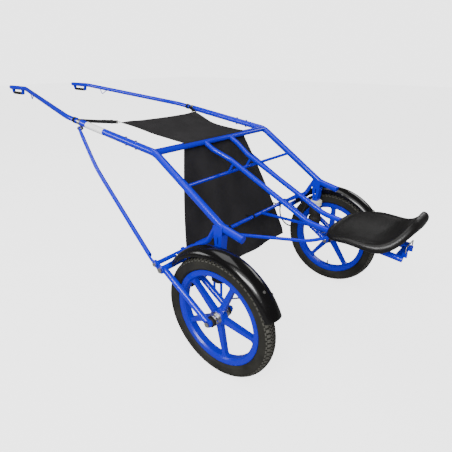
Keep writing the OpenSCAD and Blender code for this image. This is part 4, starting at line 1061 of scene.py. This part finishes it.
# %% Screen line
CROSS_RADIUS = 12.5
ROD_RADIUS = 5.0
ROD_GAP = 3.5
CLOTH_LIFT = 1.2
ROD = (KNEE[0] + CROSS_RADIUS + ROD_RADIUS + ROD_GAP, 907.0)
ROD_WRAP = ROD_RADIUS + CLOTH_LIFT
WRAP_START = math.radians(80)
APRON_FRONT = (897.0, 977.0)
APRON_BACK = (ROD[0] + ROD_WRAP * math.cos(WRAP_START), ROD[1] + ROD_WRAP * math.sin(WRAP_START))
DROP_TOP = (KNEE[0] + CROSS_RADIUS + CLOTH_LIFT, 895.0)
HEM = (282.0, 258.0)
APRON_HALF = 287.0
ROD_HALF = 235.0
HEM_HALF = 417.0
APRON_SAG = 14.0
APRON_WAIST = 26.0
FRONT_DIP = 42.0
DROP_FLARE = 1.06
DROP_BELLY = 14.0
FOLD_DEEP = 9.0
RIPPLE_DEEP = 1.6
PULL_FROM = 0.35
PULL_DEEP = 1.8
SAG_RIPPLE = 1.1
OVER_ROD = 1.1
SCREEN_END = 2.5


def drop_half(t):
    return mix(ROD_HALF, HEM_HALF, min(1.0, t * DROP_FLARE)) + DROP_BELLY * math.sin(math.pi * t)


def screen_row(s):
    if s < 1.0:
        z = mix(APRON_FRONT[1], APRON_BACK[1], s) - APRON_SAG * math.sin(math.pi * s)
        half = mix(APRON_HALF, ROD_HALF, s) - APRON_WAIST * math.sin(math.pi * s)
        return mix(APRON_FRONT[0], APRON_BACK[0], s), z, half, 0.0, FRONT_DIP * (1.0 - s)
    if s < OVER_ROD:
        a = mix(WRAP_START, math.pi, (s - 1.0) / (OVER_ROD - 1.0))
        return ROD[0] + ROD_WRAP * math.cos(a), ROD[1] + ROD_WRAP * math.sin(a), ROD_HALF, 0.0, 0.0
    t = (s - OVER_ROD) / (SCREEN_END - OVER_ROD)
    return mix(DROP_TOP[0], HEM[0], t), mix(DROP_TOP[1], HEM[1], t), drop_half(t), t, 0.0


def screen_fold(s, v, t):
    fold = FOLD_DEEP * t * math.cos(3.0 * math.pi * v)
    fold += RIPPLE_DEEP * min(1.0, 4.0 * t) * math.sin(9.0 * v + 4.0 * t) * math.cos(5.0 * v - 2.0 * t)
    if s < 1.0:
        pull = max(0.0, abs(v) - PULL_FROM) / (1.0 - PULL_FROM)
        fold += PULL_DEEP * pull * math.sin(14.0 * (abs(v) - 0.9 * s)) * (1.0 - s)
        fold += SAG_RIPPLE * math.sin(5.0 * v + 3.0 * s) * math.sin(math.pi * s)
    return fold


def screen_place(s, v):
    x, z, half, t, dip = screen_row(s)
    before = screen_row(max(0.0, s - 0.02))
    after = screen_row(min(SCREEN_END, s + 0.02))
    along = Vector((after[0] - before[0], after[1] - before[1])).normalized()
    out = screen_fold(s, v, t)
    return at(x - along.y * out - dip * (1.0 - v * v), half * v, z + along.x * out)


print("screen top corner:", tuple(screen_place(1.0, 1.0)))

# %% Screen cloth
ACROSS = 96
HEM_WIDE = 0.017
HEM_THICK = 0.0026
ALONG_PARTS = [(0.0, 1.0, 44), (1.0, OVER_ROD, 6), (OVER_ROD, SCREEN_END, 70)]
row_places = []
for first, last, count in ALONG_PARTS:
    row_places += [mix(first, last, k / count) for k in range(count)]
row_places.append(SCREEN_END)
clear_selection()
bpy.ops.mesh.primitive_grid_add(
    x_subdivisions=ACROSS, y_subdivisions=len(row_places) - 1, size=1.0, calc_uvs=True)
screen = just_made("mud_screen_cloth")
columns = ACROSS + 1


def sideways(index):
    return 2.0 * (index % columns) / ACROSS - 1.0


for index, vertex in enumerate(screen.data.vertices):
    vertex.co = screen_place(row_places[index // columns], sideways(index))
print("screen rows:", len(row_places))

# %% Screen threads and hem
middle_line = [screen.data.vertices[row * columns + ACROSS // 2].co for row in range(len(row_places))]
lengths = running_lengths(middle_line)
row_halves = [screen_row(s)[2] / 1000.0 for s in row_places]
hem_group = screen.vertex_groups.new(name="hem")
for index in range(len(screen.data.vertices)):
    row = index // columns
    side_gap = row_halves[row] * (1.0 - abs(sideways(index)))
    end_gap = min(lengths[row], lengths[-1] - lengths[row])
    hem_group.add([index], 1.0 if min(side_gap, end_gap) < HEM_WIDE else 0.5, "REPLACE")
cloth_uv = screen.data.uv_layers.active.data
for loop in screen.data.loops:
    row = loop.vertex_index // columns
    cloth_uv[loop.index].uv = (row_halves[row] * sideways(loop.vertex_index), lengths[row])
apply_modifier(screen, "thickness", "SOLIDIFY", thickness=HEM_THICK, offset=0.0, vertex_group="hem",
               use_even_offset=False)
finish_piece(screen, screen_cloth, 50.0)
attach(screen, "frame")
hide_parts("mud_screen")

# %% [markdown]
# ## Straps
# Two webbing straps pull the apron's front corners out to the shafts. Each goes round the shaft in a loop,
# runs to the corner through a slide, and ends in a steel ring. Below, four short bands tie the screen to
# the beam. A strap is a drawn line that is extruded sideways to its width and then given a thickness.

# %% Strap helpers


def strap(name, points, across, width, thickness):
    piece = draw_line(name, [p - across * (width / 2) for p in points])
    bpy.ops.mesh.select_all(action="SELECT")
    bpy.ops.mesh.extrude_region_move(TRANSFORM_OT_translate={"value": across * width})
    tidy_mesh(piece, 0.000005)
    layer = piece.data.uv_layers.new(name="threads")
    lengths = running_lengths(points)
    for loop in piece.data.loops:
        co = piece.data.vertices[loop.vertex_index].co
        nearest = min(range(len(points)), key=lambda i: (co - points[i]).length)
        layer.data[loop.index].uv = (co.dot(across), lengths[nearest])
    apply_modifier(piece, "thickness", "SOLIDIFY", thickness=thickness, offset=0.0)
    apply_modifier(piece, "edges", "BEVEL", width=0.0004, segments=1, limit_method="ANGLE")
    return finish_piece(piece, webbing, 40.0)


def ring_line(centre, side_x, side_y, radius, count):
    line = []
    for k in range(count + 1):
        a = FULL_TURN * k / count
        line.append(centre + (side_x * math.cos(a) + side_y * math.sin(a)) * radius)
    return line


RISE = math.radians(7.4)
SHAFT_DIR = Vector((math.cos(RISE), 0.0, math.sin(RISE)))
SHAFT_RADIUS = 0.01385


def on_shaft(x):
    return at(x, RAIL_Y, KNEE[1] + (x - KNEE[0]) * math.tan(RISE))


print("strap helpers ready")

# %% Apron straps
SOCKET_LONG = 593.0
STRAP_AHEAD = 61.0
STRAP_X = KNEE[0] + SOCKET_LONG * math.cos(RISE) + STRAP_AHEAD
STRAP_WIDE = 0.018
BAND_OUT = 0.0017
BAND_THICK = 0.0026
WEB_START = 0.003
WEB_TURN = 0.009
WEB_SAG = 0.0012
WEB_THICK = 0.0025
TAIL_BACK = 0.03
TAIL_STEP = 0.012
TAIL_OFF = 0.0028
TAIL_WIDE = 0.017
TAIL_THICK = 0.0022
RING_RADIUS = 0.011
RING_BACK = 0.0138
hook = on_shaft(STRAP_X)
corner = at(APRON_FRONT[0], APRON_HALF, APRON_FRONT[1])
pull_dir = (corner - hook).normalized()
pull_across = UP.cross(pull_dir).normalized()
pull_up = pull_dir.cross(pull_across)
pull_turn = Matrix((pull_dir, pull_across, pull_up)).transposed().to_4x4()
ring_at = corner - pull_dir * RING_BACK
strap_reach = (ring_at - hook).length - RING_RADIUS
loop_up = SHAFT_DIR.cross(LEFT).normalized()

loop_points = ring_line(hook, LEFT, loop_up, SHAFT_RADIUS + BAND_OUT, 40)
band_model = strap("band_model", loop_points, SHAFT_DIR, STRAP_WIDE, BAND_THICK)
web_points = []
for k in range(13):
    share = k / 12.0
    along = mix(SHAFT_RADIUS + WEB_START, strap_reach + WEB_TURN, share)
    web_points.append(hook + pull_dir * along - UP * (WEB_SAG * math.sin(math.pi * share)))
web_model = strap("web_model", web_points, pull_up, STRAP_WIDE, WEB_THICK)
tail_points = []
for k in range(5):
    along = strap_reach - TAIL_BACK - TAIL_STEP * k
    tail_points.append(hook + pull_dir * along + pull_across * TAIL_OFF * (1 + 0.2 * k))
tail_model = strap("tail_model", tail_points, pull_up, TAIL_WIDE, TAIL_THICK)
clear_selection()
web_model.select_set(True)
tail_model.select_set(True)
bpy.context.view_layer.objects.active = web_model
bpy.ops.object.join()
print("strap reach:", round(strap_reach, 3))

# %% Ring and slide
RING_WIRE = 0.00175
WELD_FROM = 0.0104
WELD_HALF = 0.0012
WELD_RISE = 0.0003
SLIDE_SIZE = (0.016, 0.0065, 0.024)
SLIDE_LIP = 0.003
SLIDE_DEEP = 0.0012
SLIDE_BACK = 0.026
clear_selection()
bpy.ops.mesh.primitive_torus_add(
    major_radius=RING_RADIUS, minor_radius=RING_WIRE, major_segments=40, minor_segments=10)
ring_model = just_made("ring_model")
enter("EDIT")
choose_faces(ring_model, lambda place, normal: place.x < -WELD_FROM and abs(place.y) < WELD_HALF)
bpy.ops.transform.shrink_fatten(value=WELD_RISE)
enter("OBJECT")
ring_model.matrix_world = Matrix.Translation(ring_at) @ pull_turn
finish_piece(ring_model, zinc, 60.0)
clear_selection()
bpy.ops.mesh.primitive_cube_add(size=1.0)
slide_model = just_made("slide_model")
slide_model.scale = SLIDE_SIZE
bpy.ops.object.transform_apply(location=False, rotation=False, scale=True)
inset_faces(slide_model, lambda place, normal: abs(normal.y) > 0.9, SLIDE_LIP, -SLIDE_DEEP)
apply_modifier(slide_model, "edges", "BEVEL", width=0.0007, segments=2, limit_method="ANGLE")
slide_model.matrix_world = Matrix.Translation(hook + pull_dir * (strap_reach - SLIDE_BACK)) @ pull_turn
finish_piece(slide_model, shell_plastic, 30.0)

strap_models = {
    "shaft_band": band_model,
    "apron_strap": web_model,
    "apron_ring": ring_model,
    "strap_slide": slide_model,
}
strap_list = []
for label, side in SIDES:
    over = Matrix.Identity(4) if side > 0 else Matrix.Scale(-1.0, 4, LEFT)
    for suffix, model in strap_models.items():
        strap_list.append(copy_piece(model, label + "_" + suffix, over))
for piece in strap_list:
    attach(piece, "frame")
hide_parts("screen_straps")
for model in strap_models.values():
    bpy.data.objects.remove(model)
print("strap pieces:", len(strap_list))

# %% Bands on the beam
TIE_PLACES = (105.0, 372.0)
TIE_WIDE = 0.014
TIE_THICK = 0.0023
TONGUE_START = 11.0
TONGUE_GAP = 0.6
TONGUE_SAG = 1.5
TONGUE_THICK = 0.0022
BAND_RADIUS = 0.01145


def tie_band(label, y):
    centre = at(BEAM[0], y, BEAM[1])
    line = ring_line(centre, Vector((1.0, 0.0, 0.0)), UP, BAND_RADIUS, 36)
    band = strap(label + "_band", line, LEFT, TIE_WIDE, TIE_THICK)
    depth = (DROP_TOP[1] - BEAM[1]) / (DROP_TOP[1] - HEM[1])
    fold = abs(FOLD_DEEP * depth * math.cos(3.0 * math.pi * y / drop_half(depth)))
    cloth_x = mix(DROP_TOP[0], HEM[0], depth) - fold
    tail = []
    for k in range(7):
        share = k / 6.0
        z = BEAM[1] - TONGUE_SAG * math.sin(math.pi * share)
        tail.append(at(mix(BEAM[0] + TONGUE_START, cloth_x - TONGUE_GAP, share), y, z))
    tongue = strap(label + "_tongue", tail, LEFT, TIE_WIDE, TONGUE_THICK)
    for piece in (band, tongue):
        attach(piece, "frame")


for label, side in SIDES:
    for number, y in enumerate(TIE_PLACES):
        tie_band(label + "_tie_" + str(number + 1), side * y)
print("ties ready")

# %% [markdown]
# ## White wrap
# The left rail carries a short white wrap ahead of its bolts. It is left plain here, as a thin sleeve on
# the tube.

# %% White wrap
WRAP_X = 920.0
WRAP_LONG = 0.15
WRAP_RADIUS = 0.0172
WRAP_THICK = 0.0004
clear_selection()
bpy.ops.mesh.primitive_cylinder_add(
    vertices=48, radius=WRAP_RADIUS, depth=WRAP_LONG, end_fill_type="NOTHING")
wrap = just_made("left_shaft_wrap")
enter("EDIT")
bpy.ops.mesh.select_all(action="SELECT")
bpy.ops.mesh.subdivide(number_cuts=1)
enter("OBJECT")
apply_modifier(wrap, "thickness", "SOLIDIFY", thickness=WRAP_THICK, offset=1.0)
shaft_turn = SHAFT_DIR.to_track_quat("Z", "Y").to_matrix().to_4x4()
wrap.matrix_world = Matrix.Translation(on_shaft(WRAP_X)) @ shaft_turn
finish_piece(wrap, white_wrap, 30.0)
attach(wrap, "frame")
print("wrap ready")
